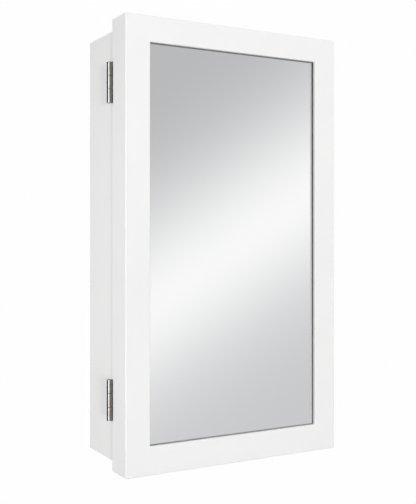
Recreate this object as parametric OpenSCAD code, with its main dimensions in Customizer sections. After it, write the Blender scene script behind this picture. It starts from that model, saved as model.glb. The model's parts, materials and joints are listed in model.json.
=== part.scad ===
// Wall cabinet with a thick framed mirror door, hung at its left side on two butt hinges.
// The origin is the centre of the carcass's back face, which lies against the wall.
// +Z is up, the wall is the plane y = 0 and the door faces -Y.

/* [Carcass] */
// Width of the carcass over its side panels
carcass_w = 350; // [310:1:420]
// Height of the carcass
carcass_h = 630; // [600:1:760]
// Depth of the carcass, from the wall to its front edges
carcass_d = 90.5; // [84:0.5:140]
// Thickness of the side, top and bottom panels
panel_t = 15; // [14:0.5:20]
// Rounding of the carcass's outer edges
carcass_edge_r = 1; // [0.5:0.1:3]
// Thickness of the back panel
back_t = 4; // [3:0.5:6]
// How far the back panel reaches into the panels around it
back_inset = 8; // [6:0.5:10]
// Play of the back panel in its rabbet, at each edge
back_play = 0.5; // [0.2:0.1:1]
// Height of each hanging rail
hanging_rail_h = 50; // [40:1:60]
// Thickness of each hanging rail
hanging_rail_t = 12; // [10:0.5:18]
// Diameter of the holes for the wall screws
wall_hole_d = 5.5; // [4:0.5:8]
// Distance between the wall holes of one rail
wall_hole_pitch = 240; // [160:1:250]

/* [Shelves] */
// Thickness of a shelf
shelf_t = 9; // [6:0.5:15]
// Depth of a shelf, from its front edge to its back edge
shelf_d = 77; // [72:0.5:78]
// Play between a shelf and each side panel
shelf_side_play = 1; // [0.5:0.1:2]
// Play between a shelf and the back panel
shelf_back_play = 1; // [0.5:0.1:2]
// Rounding of a shelf's edges
shelf_edge_r = 1.5; // [0.5:0.1:2.5]
// Distance from one shelf to the next
shelf_pitch = 160; // [120:1:180]
// Distance between neighbouring shelf pin holes
pin_row_pitch = 32; // [20:1:38]
// Number of hole rows that each shelf can be set to
rows_per_shelf = 3; // [1:2:3]
// Diameter of a shelf pin's shank and peg
shelf_pin_d = 5; // [4:0.5:6]
// Length of the shank in the side panel
shelf_pin_shank = 9; // [7:0.5:10]
// Length of the peg under the shelf
shelf_pin_peg = 8; // [6:0.5:12]
// Diameter of the pin's collar
shelf_pin_collar_d = 7; // [6.5:0.5:10]
// Thickness of the pin's collar
shelf_pin_collar_t = 0.8; // [0.5:0.1:1.5]
// Height of the peg's flat top above its axis
shelf_pin_flat = 2; // [1:0.1:2]
// Distance from the carcass's front to the front pins
front_pin_inset = 22; // [20:0.5:30]
// Distance from the back panel to the rear pins
rear_pin_inset = 18; // [15:0.5:25]

/* [Door] */
// How far the door reaches past the carcass at the hinge side
overhang_left = 2; // [1:0.5:4]
// How far the door reaches past the carcass at the opening side
overhang_right = 16; // [8:0.5:18]
// How far the door reaches above the carcass
overhang_top = 16; // [8:0.5:24]
// How far the door reaches below the carcass
overhang_bottom = 14; // [8:0.5:24]
// Gap between the shut door and the carcass
door_gap = 2; // [1.8:0.1:2.4]
// Thickness of the door
door_t = 49.5; // [42:0.5:60]
// Face width of each stile
stile_w = 38.5; // [36:0.5:60]
// Face width of the top rail
top_rail_w = 38; // [36:0.5:60]
// Face width of the bottom rail
bottom_rail_w = 42; // [36:0.5:60]
// Thickness of the lip in front of the mirror
lip_t = 5; // [3:0.5:8]
// Width of the rabbet behind the lip
rabbet_w = 6; // [5:0.5:8]
// Rounding of the door's outer edges
door_edge_r = 1.8; // [0.5:0.1:4]

/* [Mirror] */
// Thickness of the mirror glass
mirror_t = 3; // [3:0.5:5]
// Thickness of the board behind the mirror
backing_t = 3; // [2:0.5:6]
// Play of the mirror and its board in the rabbet, at each edge
mirror_play = 1; // [0.5:0.1:2]
// Width and depth of the battens that hold the board
batten_w = 10; // [9:0.5:14]

/* [Hinges] */
// Height of a hinge
hinge_h = 60; // [50:1:80]
// Diameter of the barrel
barrel_d = 8.5; // [7.5:0.1:9.5]
// Distance from the door's left side out to the pin
barrel_offset = 3.25; // [2.8:0.05:4]
// Diameter of the hinge pin
hinge_pin_d = 4.4; // [3:0.1:4.8]
// Play between the pin and its bore, all round
hinge_pin_play = 0.05; // [0.02:0.01:0.1]
// Gap between two knuckles
knuckle_gap = 0.3; // [0.2:0.05:0.6]
// Thickness of a leaf
leaf_t = 2; // [1.5:0.1:2.2]
// Width of a leaf, from the pin's axis
leaf_w = 18; // [17:0.5:19]
// Gap between the two leaves of a shut hinge
leaf_gap = 0.4; // [0.3:0.1:0.8]
// Distance from the pin's axis to the leaf's screws
leaf_hole_x = 11.75; // [10:0.25:13]
// Distance between the screws of a leaf
leaf_hole_pitch = 20; // [14:1:22]
// Play round a leaf in its mortise
mortise_play = 0.6; // [0.1:0.1:1]
// Clear space round the barrel, in the wood and beside the other leaf
barrel_relief = 1.4; // [0.3:0.1:1.6]
// Distance from the door's top to the middle of the upper hinge
upper_hinge_drop = 92; // [70:1:160]
// Distance from the door's bottom to the middle of the lower hinge
lower_hinge_rise = 104; // [70:1:160]

/* [Catch and bumpers] */
// Height of a magnetic catch above or below the carcass's middle
catch_z = 180; // [60:1:240]
// Diameter of a catch's sleeve
sleeve_d = 10; // [8.5:0.5:11]
// Length of the sleeve in the side panel
sleeve_len = 12; // [10:0.5:13]
// Diameter of the sleeve's flange
flange_d = 12; // [11.5:0.5:13]
// Thickness of the sleeve's flange
flange_t = 0.8; // [0.5:0.1:1]
// Diameter of the magnet
magnet_d = 7; // [5:0.5:7.5]
// Length of the magnet
magnet_len = 8; // [5:0.5:9]
// Play round the magnet, and round the sleeve in its hole
catch_play = 0.05; // [0.02:0.01:0.1]
// Diameter of a strike plate
strike_d = 12; // [10:0.5:13]
// Gap between a strike plate and its catch
strike_gap = 0.3; // [0.2:0.1:0.5]
// Diameter of a door bumper
bumper_d = 8; // [6:0.5:12]
// Gap between a bumper and the shut door
bumper_gap = 0.4; // [0.2:0.1:0.6]
// Distance from the carcass's top or bottom to a bumper's middle
bumper_inset = 18; // [10:1:40]

/* [Screws and dowels] */
// Diameter of a screw's shank
screw_d = 3; // [2.5:0.1:3.5]
// Diameter of a screw's countersunk head
screw_head_d = 5.6; // [5:0.1:6.2]
// Height of a screw's head
screw_head_h = 1.5; // [1.2:0.1:1.8]
// Length of a screw's point
screw_point = 3; // [2:0.5:4]
// Diameter of a screw's blunt tip
screw_tip_d = 1; // [0.4:0.1:1.5]
// Length of each slot of the cross recess
recess_len = 3; // [2:0.1:3.5]
// Width of each slot of the cross recess
recess_w = 0.8; // [0.5:0.1:1]
// Depth of the cross recess
recess_h = 0.9; // [0.5:0.1:1.1]
// Play round a screw in its hole
screw_play = 0.05; // [0.02:0.01:0.2]
// Length of a hinge screw
hinge_screw_len = 16; // [10:1:20]
// Length of a back panel screw
back_screw_len = 16; // [10:1:17]
// Distance from the inside's top or bottom to the outer back panel screws
back_screw_inset = 80; // [70:1:120]
// Number of back panel screws in each side panel
back_screw_count = 4; // [2:1:6]
// Length of a batten screw
batten_screw_len = 22; // [14:1:28]
// Distance from a batten's end to its outer screws
batten_screw_inset = 60; // [40:1:90]
// Length of a strike plate's screw
strike_screw_len = 12; // [8:1:16]
// Diameter of a carcass dowel
panel_dowel_d = 6; // [5:0.5:8]
// Length of a carcass dowel
panel_dowel_len = 28; // [22:1:40]
// How deep a carcass dowel stands in the side panel
panel_dowel_seat = 9; // [7:0.5:11]
// Distance from the carcass's front and back to the dowels of the top and bottom panels
panel_dowel_inset = 20; // [12:1:30]
// Diameter of a door frame dowel
frame_dowel_d = 8; // [6:0.5:10]
// Length of a door frame dowel
frame_dowel_len = 40; // [30:1:50]
// How deep a door frame dowel stands in the stile
frame_dowel_seat = 18; // [12:1:24]
// Distance between the two dowels of a frame joint
frame_dowel_pitch = 18; // [12:1:20]
// Play round a dowel
dowel_play = 0.05; // [0.02:0.01:0.2]
// Empty space at each end of a dowel's hole, and at a screw's or pin's
end_room = 0.5; // [0.2:0.1:1]

/* [Hidden] */
$fn = 48;

// Overshoot of a cutting shape past the face that it opens
cut = 1;

// Colours of the finishes
paint = "white";
bare_wood = "burlywood";
silvering = "lightsteelblue";
nickel = "silver";
zinc = "lightgray";
moulding = "gainsboro";
ferrite = "dimgray";
clear_rubber = "whitesmoke";

// Carcass, inside and out
half_w = carcass_w / 2;
half_h = carcass_h / 2;
inner_half_w = half_w - panel_t;
inner_half_h = half_h - panel_t;
back_half_w = inner_half_w + back_inset;
back_half_h = inner_half_h + back_inset;
carcass_front = -carcass_d;
back_front = -back_t;
rail_front = back_front - hanging_rail_t;
rail_mid_y = back_front - hanging_rail_t / 2;
rail_mid_z = inner_half_h - hanging_rail_h / 2;

// Door, outside, and the opening in its frame
door_left = -half_w - overhang_left;
door_right = half_w + overhang_right;
door_bottom = -half_h - overhang_bottom;
door_top = half_h + overhang_top;
door_w = door_right - door_left;
door_h = door_top - door_bottom;
door_mid_x = (door_left + door_right) / 2;
door_mid_z = (door_bottom + door_top) / 2;
door_back = carcass_front - door_gap;
door_front = door_back - door_t;
view_left = door_left + stile_w;
view_right = door_right - stile_w;
view_bottom = door_bottom + bottom_rail_w;
view_top = door_top - top_rail_w;

// Pocket behind the lip, which holds the mirror
pocket_left = view_left - rabbet_w;
pocket_right = view_right + rabbet_w;
pocket_bottom = view_bottom - rabbet_w;
pocket_top = view_top + rabbet_w;
pocket_mid_z = (pocket_bottom + pocket_top) / 2;
lip_back = door_front + lip_t;
mirror_back = lip_back + mirror_t;
backing_back = mirror_back + backing_t;
batten_mid_y = backing_back + batten_w / 2;

// Shelves and their pins
shelf_w = 2 * (inner_half_w - shelf_side_play);
shelf_back = back_front - shelf_back_play;
row_reach = (rows_per_shelf - 1) / 2;
pin_ys = [carcass_front + front_pin_inset, back_front - rear_pin_inset];
shelf_zs = [-shelf_pitch, 0, shelf_pitch];

// Hinges
barrel_r = barrel_d / 2;
hinge_x = door_left - barrel_offset;
hinge_y = (carcass_front + door_back) / 2;
upper_hinge_z = door_top - upper_hinge_drop;
lower_hinge_z = door_bottom + lower_hinge_rise;
hinge_zs = [lower_hinge_z, upper_hinge_z];
knuckle_count = 3;
knuckle_h = (hinge_h - (knuckle_count - 1) * knuckle_gap) / knuckle_count;
body_knuckles = [0, 2];
door_knuckles = [1];
leaf_outer = leaf_gap / 2 + leaf_t;
leaf_hole_zs = [-leaf_hole_pitch, 0, leaf_hole_pitch];

// Catches and bumpers, on the middle of the right side panel's front edge
edge_mid_x = half_w - panel_t / 2;
catch_zs = [-catch_z, catch_z];
bumper_zs = [bumper_inset - half_h, half_h - bumper_inset];
strike_t = door_gap - flange_t - strike_gap;
bumper_t = door_gap - bumper_gap;

// Back panel screws
back_screw_x = inner_half_w + back_inset / 2;
back_screw_z = inner_half_h + back_inset / 2;
back_screw_reach = inner_half_h - back_screw_inset;
back_screw_pitch = 2 * back_screw_reach / (back_screw_count - 1);
back_screw_zs = [for (i = [0 : back_screw_count - 1]) i * back_screw_pitch - back_screw_reach];

// Batten screws
batten_screw_zs = [
    pocket_bottom + batten_screw_inset,
    pocket_mid_z,
    pocket_top - batten_screw_inset
];
batten_screw_xs = [pocket_left + batten_screw_inset, pocket_right - batten_screw_inset];

// Door frame dowels
frame_dowel_mid_y = (lip_back + door_back) / 2;
frame_dowel_ys = [for (s = [-1, 1]) frame_dowel_mid_y + s * frame_dowel_pitch / 2];
frame_dowel_zs = [(door_bottom + pocket_bottom) / 2, (door_top + pocket_top) / 2];

// Carcass dowels of the top and bottom panels
panel_dowel_ys = [carcass_front + panel_dowel_inset, -panel_dowel_inset];

// General shapes

// A box between two opposite corners
module box(a, b) {
    low = [for (i = [0 : 2]) min(a[i], b[i])];
    high = [for (i = [0 : 2]) max(a[i], b[i])];
    translate(low)
        cube(high - low);
}

// What rounding takes off the four edges of a block that run along Z
module edge_cuts(w, h, len, r) {
    for (mx = [0, 1], my = [0, 1])
        mirror([mx, 0, 0])
            mirror([0, my, 0])
                translate([w / 2 - r, h / 2 - r, 0])
                    linear_extrude(len + 2 * cut, center = true)
                        difference() {
                            square(r + cut);
                            circle(r);
                        }
}

// A block about the origin with all its edges rounded
module rounded_block(size, r) {
    difference() {
        cube(size, center = true);
        edge_cuts(size.x, size.y, size.z, r);
        rotate([90, 0, 0])
            edge_cuts(size.x, size.z, size.y, r);
        rotate([90, 0, 90])
            edge_cuts(size.y, size.z, size.x, r);
    }
}

// Turns a shape that points along -Z to point along another axis
module pointing(way) {
    turn = way == "+Y" ? [90, 0, 0] :
           way == "-Y" ? [-90, 0, 0] :
           way == "-X" ? [0, 90, 0] :
           way == "+X" ? [0, -90, 0] :
           way == "+Z" ? [180, 0, 0] : [0, 0, 0];
    rotate(turn)
        children();
}

// A countersunk screw with its head's top at the origin, pointing along -Z
module screw(len) {
    shank_r = screw_d / 2;
    difference() {
        union() {
            translate([0, 0, -screw_head_h])
                cylinder(h = screw_head_h, r1 = shank_r, r2 = screw_head_d / 2);
            translate([0, 0, screw_point - len])
                cylinder(h = len - screw_point - screw_head_h, r = shank_r);
            translate([0, 0, -len])
                cylinder(h = screw_point, r1 = screw_tip_d / 2, r2 = shank_r);
        }
        for (a = [0, 90])
            rotate([0, 0, a])
                translate([-recess_len / 2, -recess_w / 2, -recess_h])
                    cube([recess_len, recess_w, recess_h + cut]);
    }
}

// The hole for that screw, open above its head
module screw_hole(len) {
    shank_r = screw_d / 2 + screw_play;
    head_r = screw_head_d / 2 + screw_play;
    translate([0, 0, -screw_head_h])
        cylinder(h = screw_head_h, r1 = shank_r, r2 = head_r);
    cylinder(h = cut, r = head_r);
    translate([0, 0, -len - end_room])
        cylinder(h = len + end_room - screw_head_h, r = shank_r);
}

// A dowel along +X from the origin, or its hole, longer by some room at each end
module dowel(d, len, play, room) {
    translate([-room, 0, 0])
        rotate([0, 90, 0])
            cylinder(h = len + 2 * room, d = d + 2 * play);
}

// Places of the fasteners. Each module puts its children at every place.

module at_back_screws() {
    for (x = [-back_screw_x, back_screw_x], z = back_screw_zs)
        translate([x, 0, z])
            pointing("-Y")
                children();
    for (z = [-back_screw_z, back_screw_z])
        translate([0, 0, z])
            pointing("-Y")
                children();
}

module at_batten_screws() {
    for (z = batten_screw_zs) {
        translate([pocket_left + batten_w, batten_mid_y, z])
            pointing("-X")
                children();
        translate([pocket_right - batten_w, batten_mid_y, z])
            pointing("+X")
                children();
    }
    for (x = batten_screw_xs) {
        translate([x, batten_mid_y, pocket_top - batten_w])
            pointing("+Z")
                children();
        translate([x, batten_mid_y, pocket_bottom + batten_w])
            pointing("-Z")
                children();
    }
}

// Side 1 is the carcass's leaves and side -1 the door's
module at_leaf_screws(side) {
    for (hinge_z = hinge_zs, z = leaf_hole_zs)
        translate([hinge_x + leaf_hole_x, hinge_y + side * leaf_gap / 2, hinge_z + z])
            pointing(side > 0 ? "+Y" : "-Y")
                children();
}

module at_strikes() {
    for (z = catch_zs)
        translate([edge_mid_x, door_back + strike_t, z])
            pointing("-Y")
                children();
}

// +Z is turned to run into the side panel
module at_catches() {
    for (z = catch_zs)
        translate([edge_mid_x, carcass_front, z])
            rotate([-90, 0, 0])
                children();
}

// The dowels of the top and bottom panels and of the hanging rails, or their holes
module carcass_dowel_set(play, room) {
    start = inner_half_w + panel_dowel_seat - panel_dowel_len;
    panel_zs = [panel_t / 2 - half_h, half_h - panel_t / 2];
    for (side = [0, 1])
        mirror([side, 0, 0]) {
            for (y = panel_dowel_ys, z = panel_zs)
                translate([start, y, z])
                    dowel(panel_dowel_d, panel_dowel_len, play, room);
            for (z = [-rail_mid_z, rail_mid_z])
                translate([start, rail_mid_y, z])
                    dowel(panel_dowel_d, panel_dowel_len, play, room);
        }
}

// The dowels of the door frame's four joints, or their holes
module frame_dowel_set(play, room) {
    starts = [pocket_left - frame_dowel_seat, pocket_right + frame_dowel_seat - frame_dowel_len];
    for (x = starts, y = frame_dowel_ys, z = frame_dowel_zs)
        translate([x, y, z])
            dowel(frame_dowel_d, frame_dowel_len, play, room);
}

// Carcass

// The whole carcass's outer form, rounded all round and then cut square at the wall
module carcass_block() {
    r = carcass_edge_r;
    intersection() {
        translate([0, (r - carcass_d) / 2, 0])
            rounded_block([carcass_w, carcass_d + r, carcass_h], r);
        box([-half_w - cut, carcass_front - cut, -half_h - cut], [half_w + cut, 0, half_h + cut]);
    }
}

// The rabbet round the carcass's back, for the back panel
module back_rabbet() {
    box([-back_half_w, back_front, -back_half_h], [back_half_w, cut, back_half_h]);
}

// The holes for the wall screws, through the back panel and the hanging rails
module wall_holes() {
    for (x = [-1, 1], z = [-1, 1])
        translate([x * wall_hole_pitch / 2, cut, z * rail_mid_z])
            rotate([90, 0, 0])
                cylinder(h = 2 * cut - rail_front, d = wall_hole_d);
}

// The shelf pin holes of one side panel. Side -1 is the left and side 1 the right.
module shelf_pin_holes(side) {
    for (z = shelf_zs, row = [-row_reach : row_reach], y = pin_ys)
        translate([side * (inner_half_w - cut), y, z + row * pin_row_pitch])
            rotate([0, side * 90, 0])
                cylinder(h = cut + shelf_pin_shank + end_room, d = shelf_pin_d + 2 * dowel_play);
}

// A side panel before its own hardware's cuts
module side_panel(side) {
    difference() {
        intersection() {
            carcass_block();
            box(
                [side * inner_half_w, carcass_front - cut, -half_h - cut],
                [side * (half_w + cut), cut, half_h + cut]
            );
        }
        back_rabbet();
        shelf_pin_holes(side);
        carcass_dowel_set(dowel_play, end_room);
        at_back_screws()
            screw_hole(back_screw_len);
    }
}

module side_panel_left() {
    color(paint)
        difference() {
            side_panel(-1);
            hinge_mortises();
            at_leaf_screws(1)
                screw_hole(hinge_screw_len);
        }
}

module side_panel_right() {
    color(paint)
        difference() {
            side_panel(1);
            at_catches()
                translate([0, 0, -cut])
                    cylinder(h = cut + sleeve_len + end_room, d = sleeve_d + 2 * catch_play);
        }
}

// The panel at an end of the carcass. Side 1 is the top and side -1 the bottom.
module end_panel(side) {
    color(paint)
        difference() {
            intersection() {
                carcass_block();
                box(
                    [-inner_half_w, carcass_front - cut, side * inner_half_h],
                    [inner_half_w, cut, side * (half_h + cut)]
                );
            }
            back_rabbet();
            carcass_dowel_set(dowel_play, end_room);
            at_back_screws()
                screw_hole(back_screw_len);
        }
}

module top_panel() {
    end_panel(1);
}

module bottom_panel() {
    end_panel(-1);
}

module back_panel() {
    w = back_half_w - back_play;
    h = back_half_h - back_play;
    color(paint)
        difference() {
            box([-w, back_front, -h], [w, 0, h]);
            wall_holes();
            at_back_screws()
                screw_hole(back_screw_len);
        }
}

// The hanging rail behind the top, side 1, or the bottom, side -1
module hanging_rail(side) {
    color(paint)
        difference() {
            box(
                [-inner_half_w, rail_front, side * (inner_half_h - hanging_rail_h)],
                [inner_half_w, back_front, side * inner_half_h]
            );
            wall_holes();
            carcass_dowel_set(dowel_play, end_room);
        }
}

module hanging_rail_top() {
    hanging_rail(1);
}

module hanging_rail_bottom() {
    hanging_rail(-1);
}

module carcass_dowels() {
    color(bare_wood)
        carcass_dowel_set(0, 0);
}

module back_panel_screws() {
    color(zinc)
        at_back_screws()
            screw(back_screw_len);
}

// Shelves

// The shelf whose pins lie at height z
module shelf(z) {
    color(paint)
        translate([0, shelf_back - shelf_d / 2, z + shelf_pin_flat + shelf_t / 2])
            rounded_block([shelf_w, shelf_d, shelf_t], shelf_edge_r);
}

module shelf_lower() {
    shelf(shelf_zs[0]);
}

module shelf_middle() {
    shelf(shelf_zs[1]);
}

module shelf_upper() {
    shelf(shelf_zs[2]);
}

// A shelf pin along X, with its collar against the plane x = 0 and its shank towards +X
module shelf_pin() {
    collar_r = shelf_pin_collar_d / 2;
    difference() {
        union() {
            translate([-shelf_pin_peg, 0, 0])
                rotate([0, 90, 0])
                    cylinder(h = shelf_pin_peg + shelf_pin_shank, d = shelf_pin_d);
            translate([-shelf_pin_collar_t, 0, 0])
                rotate([0, 90, 0])
                    cylinder(h = shelf_pin_collar_t, r = collar_r);
        }
        box([-shelf_pin_peg - cut, -collar_r - cut, shelf_pin_flat], [0, collar_r + cut, collar_r + cut]);
    }
}

module shelf_pins() {
    color(nickel)
        for (side = [0, 1], y = pin_ys, z = shelf_zs)
            mirror([side, 0, 0])
                translate([inner_half_w, y, z])
                    shelf_pin();
}

// Door frame

// The whole door's outer form
module door_block() {
    translate([door_mid_x, (door_front + door_back) / 2, door_mid_z])
        rounded_block([door_w, door_t, door_h], door_edge_r);
}

// A stile before its own hardware's cuts. Side -1 is the left and side 1 the right.
module stile(side) {
    outer = side < 0 ? door_left : door_right;
    view = side < 0 ? view_left : view_right;
    pocket = side < 0 ? pocket_left : pocket_right;
    difference() {
        intersection() {
            door_block();
            box(
                [outer + side * cut, door_front - cut, door_bottom - cut],
                [view, door_back + cut, door_top + cut]
            );
        }
        box([pocket, lip_back, door_bottom - cut], [view - side * cut, door_back + cut, door_top + cut]);
        frame_dowel_set(dowel_play, end_room);
        at_batten_screws()
            screw_hole(batten_screw_len);
    }
}

module door_stile_left() {
    color(paint)
        difference() {
            stile(-1);
            hinge_mortises();
            at_leaf_screws(-1)
                screw_hole(hinge_screw_len);
        }
}

module door_stile_right() {
    color(paint)
        difference() {
            stile(1);
            at_strikes()
                screw_hole(strike_screw_len);
        }
}

// A rail whose lip fits between the stiles' lips and whose back fits between their rabbets
module rail(outer, view, pocket) {
    color(paint)
        difference() {
            intersection() {
                door_block();
                union() {
                    box([view_left, door_front - cut, outer], [view_right, lip_back, view]);
                    box([pocket_left, lip_back, outer], [pocket_right, door_back + cut, pocket]);
                }
            }
            frame_dowel_set(dowel_play, end_room);
            at_batten_screws()
                screw_hole(batten_screw_len);
        }
}

module door_rail_top() {
    rail(door_top + cut, view_top, pocket_top);
}

module door_rail_bottom() {
    rail(door_bottom - cut, view_bottom, pocket_bottom);
}

module door_frame_dowels() {
    color(bare_wood)
        frame_dowel_set(0, 0);
}

// Mirror

// A pane that fills the pocket, less its play, between two depths
module pane(front, back) {
    box(
        [pocket_left + mirror_play, front, pocket_bottom + mirror_play],
        [pocket_right - mirror_play, back, pocket_top - mirror_play]
    );
}

module mirror_glass() {
    color(silvering)
        pane(lip_back, mirror_back);
}

module mirror_backing_board() {
    color(paint)
        pane(mirror_back, backing_back);
}

// A batten behind the backing board, between two corners in X and Z
module batten(low_x, low_z, high_x, high_z) {
    color(paint)
        difference() {
            box([low_x, backing_back, low_z], [high_x, backing_back + batten_w, high_z]);
            at_batten_screws()
                screw_hole(batten_screw_len);
        }
}

module mirror_batten_left() {
    batten(pocket_left, pocket_bottom, pocket_left + batten_w, pocket_top);
}

module mirror_batten_right() {
    batten(pocket_right - batten_w, pocket_bottom, pocket_right, pocket_top);
}

module mirror_batten_top() {
    batten(pocket_left + batten_w, pocket_top - batten_w, pocket_right - batten_w, pocket_top);
}

module mirror_batten_bottom() {
    batten(pocket_left + batten_w, pocket_bottom, pocket_right - batten_w, pocket_bottom + batten_w);
}

module batten_screws() {
    color(zinc)
        at_batten_screws()
            screw(batten_screw_len);
}

// Hinges

// The space that the hinges need in the wood of the stile and of the side panel
module hinge_mortises() {
    half = hinge_h / 2 + mortise_play;
    for (z = hinge_zs)
        translate([hinge_x, hinge_y, z]) {
            box([0, -leaf_outer, -half], [leaf_w + mortise_play, leaf_outer, half]);
            translate([0, 0, -half])
                cylinder(h = 2 * half, r = barrel_r + barrel_relief);
        }
}

// The leaf of one hinge with its knuckles. Side 1 is the carcass's leaf and side -1 the door's.
module hinge_leaf(z, side, knuckles) {
    half = hinge_h / 2;
    inner = side * leaf_gap / 2;
    outer = side * leaf_outer;
    color(nickel)
        difference() {
            translate([hinge_x, hinge_y, z])
                difference() {
                    union() {
                        box([barrel_r + barrel_relief, inner, -half], [leaf_w, outer, half]);
                        for (k = knuckles)
                            translate([0, 0, k * (knuckle_h + knuckle_gap) - half]) {
                                cylinder(h = knuckle_h, r = barrel_r);
                                box([0, inner, 0], [leaf_hole_x, outer, knuckle_h]);
                            }
                    }
                    translate([0, 0, -half - cut])
                        cylinder(h = hinge_h + 2 * cut, r = hinge_pin_d / 2 + hinge_pin_play);
                }
            at_leaf_screws(side)
                screw_hole(hinge_screw_len);
        }
}

module hinge_pin(z) {
    color(nickel)
        translate([hinge_x, hinge_y, z - hinge_h / 2])
            cylinder(h = hinge_h, d = hinge_pin_d);
}

module hinge_upper_body_leaf() {
    hinge_leaf(upper_hinge_z, 1, body_knuckles);
}

module hinge_lower_body_leaf() {
    hinge_leaf(lower_hinge_z, 1, body_knuckles);
}

module hinge_upper_door_leaf() {
    hinge_leaf(upper_hinge_z, -1, door_knuckles);
}

module hinge_lower_door_leaf() {
    hinge_leaf(lower_hinge_z, -1, door_knuckles);
}

module hinge_upper_pin() {
    hinge_pin(upper_hinge_z);
}

module hinge_lower_pin() {
    hinge_pin(lower_hinge_z);
}

module hinge_body_screws() {
    color(nickel)
        at_leaf_screws(1)
            screw(hinge_screw_len);
}

module hinge_door_screws() {
    color(nickel)
        at_leaf_screws(-1)
            screw(hinge_screw_len);
}

// Catches and bumpers

module catch_sleeves() {
    color(moulding)
        at_catches()
            difference() {
                union() {
                    cylinder(h = sleeve_len, d = sleeve_d);
                    translate([0, 0, -flange_t])
                        cylinder(h = flange_t, d = flange_d);
                }
                translate([0, 0, -flange_t - cut])
                    cylinder(h = cut + magnet_len, d = magnet_d + 2 * catch_play);
            }
}

module catch_magnets() {
    color(ferrite)
        at_catches()
            translate([0, 0, -flange_t])
                cylinder(h = magnet_len, d = magnet_d);
}

module door_bumpers() {
    color(clear_rubber)
        for (z = bumper_zs)
            translate([edge_mid_x, carcass_front, z])
                rotate([90, 0, 0])
                    cylinder(h = bumper_t, d = bumper_d);
}

module strike_plates() {
    color(zinc)
        difference() {
            at_strikes()
                translate([0, 0, -strike_t])
                    cylinder(h = strike_t, d = strike_d);
            at_strikes()
                screw_hole(strike_screw_len);
        }
}

module strike_screws() {
    color(zinc)
        at_strikes()
            screw(strike_screw_len);
}

side_panel_left();
side_panel_right();
top_panel();
bottom_panel();
back_panel();
hanging_rail_top();
hanging_rail_bottom();
carcass_dowels();
back_panel_screws();
shelf_lower();
shelf_middle();
shelf_upper();
shelf_pins();
hinge_upper_body_leaf();
hinge_lower_body_leaf();
hinge_upper_pin();
hinge_lower_pin();
hinge_body_screws();
catch_sleeves();
catch_magnets();
door_bumpers();
door_stile_left();
door_stile_right();
door_rail_top();
door_rail_bottom();
door_frame_dowels();
mirror_glass();
mirror_backing_board();
mirror_batten_left();
mirror_batten_right();
mirror_batten_top();
mirror_batten_bottom();
batten_screws();
hinge_upper_door_leaf();
hinge_lower_door_leaf();
hinge_door_screws();
strike_plates();
strike_screws();
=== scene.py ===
"""A wall cabinet with a thick framed mirror door: its detailed pieces, their finishes and a studio.

Lengths are in metres, in the frame of the CAD model: +Z is up, the wall is the plane y = 0 and the
door faces -Y. Sizes that the CAD model knows are read from it.
"""

import json
import logging
import math
from collections.abc import Iterable, Sequence
from dataclasses import dataclass, field
from enum import Enum

import bmesh
import bpy
from mathutils import Matrix, Vector


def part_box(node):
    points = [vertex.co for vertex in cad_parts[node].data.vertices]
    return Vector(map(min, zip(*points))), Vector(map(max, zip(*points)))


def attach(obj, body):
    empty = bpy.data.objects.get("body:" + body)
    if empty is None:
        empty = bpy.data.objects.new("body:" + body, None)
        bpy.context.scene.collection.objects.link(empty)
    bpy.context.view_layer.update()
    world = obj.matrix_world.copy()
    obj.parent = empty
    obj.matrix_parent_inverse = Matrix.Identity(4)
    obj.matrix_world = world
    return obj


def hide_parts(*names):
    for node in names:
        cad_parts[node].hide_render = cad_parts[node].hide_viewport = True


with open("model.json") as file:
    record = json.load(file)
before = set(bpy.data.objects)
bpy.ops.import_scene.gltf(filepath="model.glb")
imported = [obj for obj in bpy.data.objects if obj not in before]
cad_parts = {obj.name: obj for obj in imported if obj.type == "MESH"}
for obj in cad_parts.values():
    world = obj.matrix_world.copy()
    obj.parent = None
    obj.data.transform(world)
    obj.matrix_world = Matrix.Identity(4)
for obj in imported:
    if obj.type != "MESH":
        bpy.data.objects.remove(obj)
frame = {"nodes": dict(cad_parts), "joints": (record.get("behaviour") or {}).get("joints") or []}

LOG = logging.getLogger("cabinet")
MM = 0.001
CLOSE = 1e-6
MERGED = 1e-7
THROUGH = 1.0  # half the length of a bar that cuts right through a piece
NOISE_ENDS = (0.3, 0.7)  # nearly all of a noise pattern's values lie between these
MIX_INPUTS = (0, 6, 7)  # a Mix node's share and two colours, whose names its other sockets have too
MIX_RESULT = 2
SHELVES = ("shelf_lower", "shelf_middle", "shelf_upper")
Colour = tuple[float, float, float]
Tone = tuple[float, float, float, float]
Stretch = tuple[float, float, float]
Ends = tuple[float, float]
Socket = bpy.types.NodeSocket
Number = float | Socket
Mesh = bmesh.types.BMesh


class Side(Enum):
    """A face of an upright box: its axis, and the end of that axis that it lies at."""

    LEFT = (0, 0)
    RIGHT = (0, 1)
    FRONT = (1, 0)
    BACK = (1, 1)
    BOTTOM = (2, 0)
    TOP = (2, 1)

    @property
    def axis(self) -> int:
        """The number of the axis that the face is square to."""
        return self.value[0]

    @property
    def end(self) -> int:
        """0 for the low end of the axis and 1 for the high end."""
        return self.value[1]


Arris = tuple[Side, Side]
ALL_ARRISES: tuple[Arris, ...] = tuple((a, b) for a in Side for b in Side if a.axis < b.axis)


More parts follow.
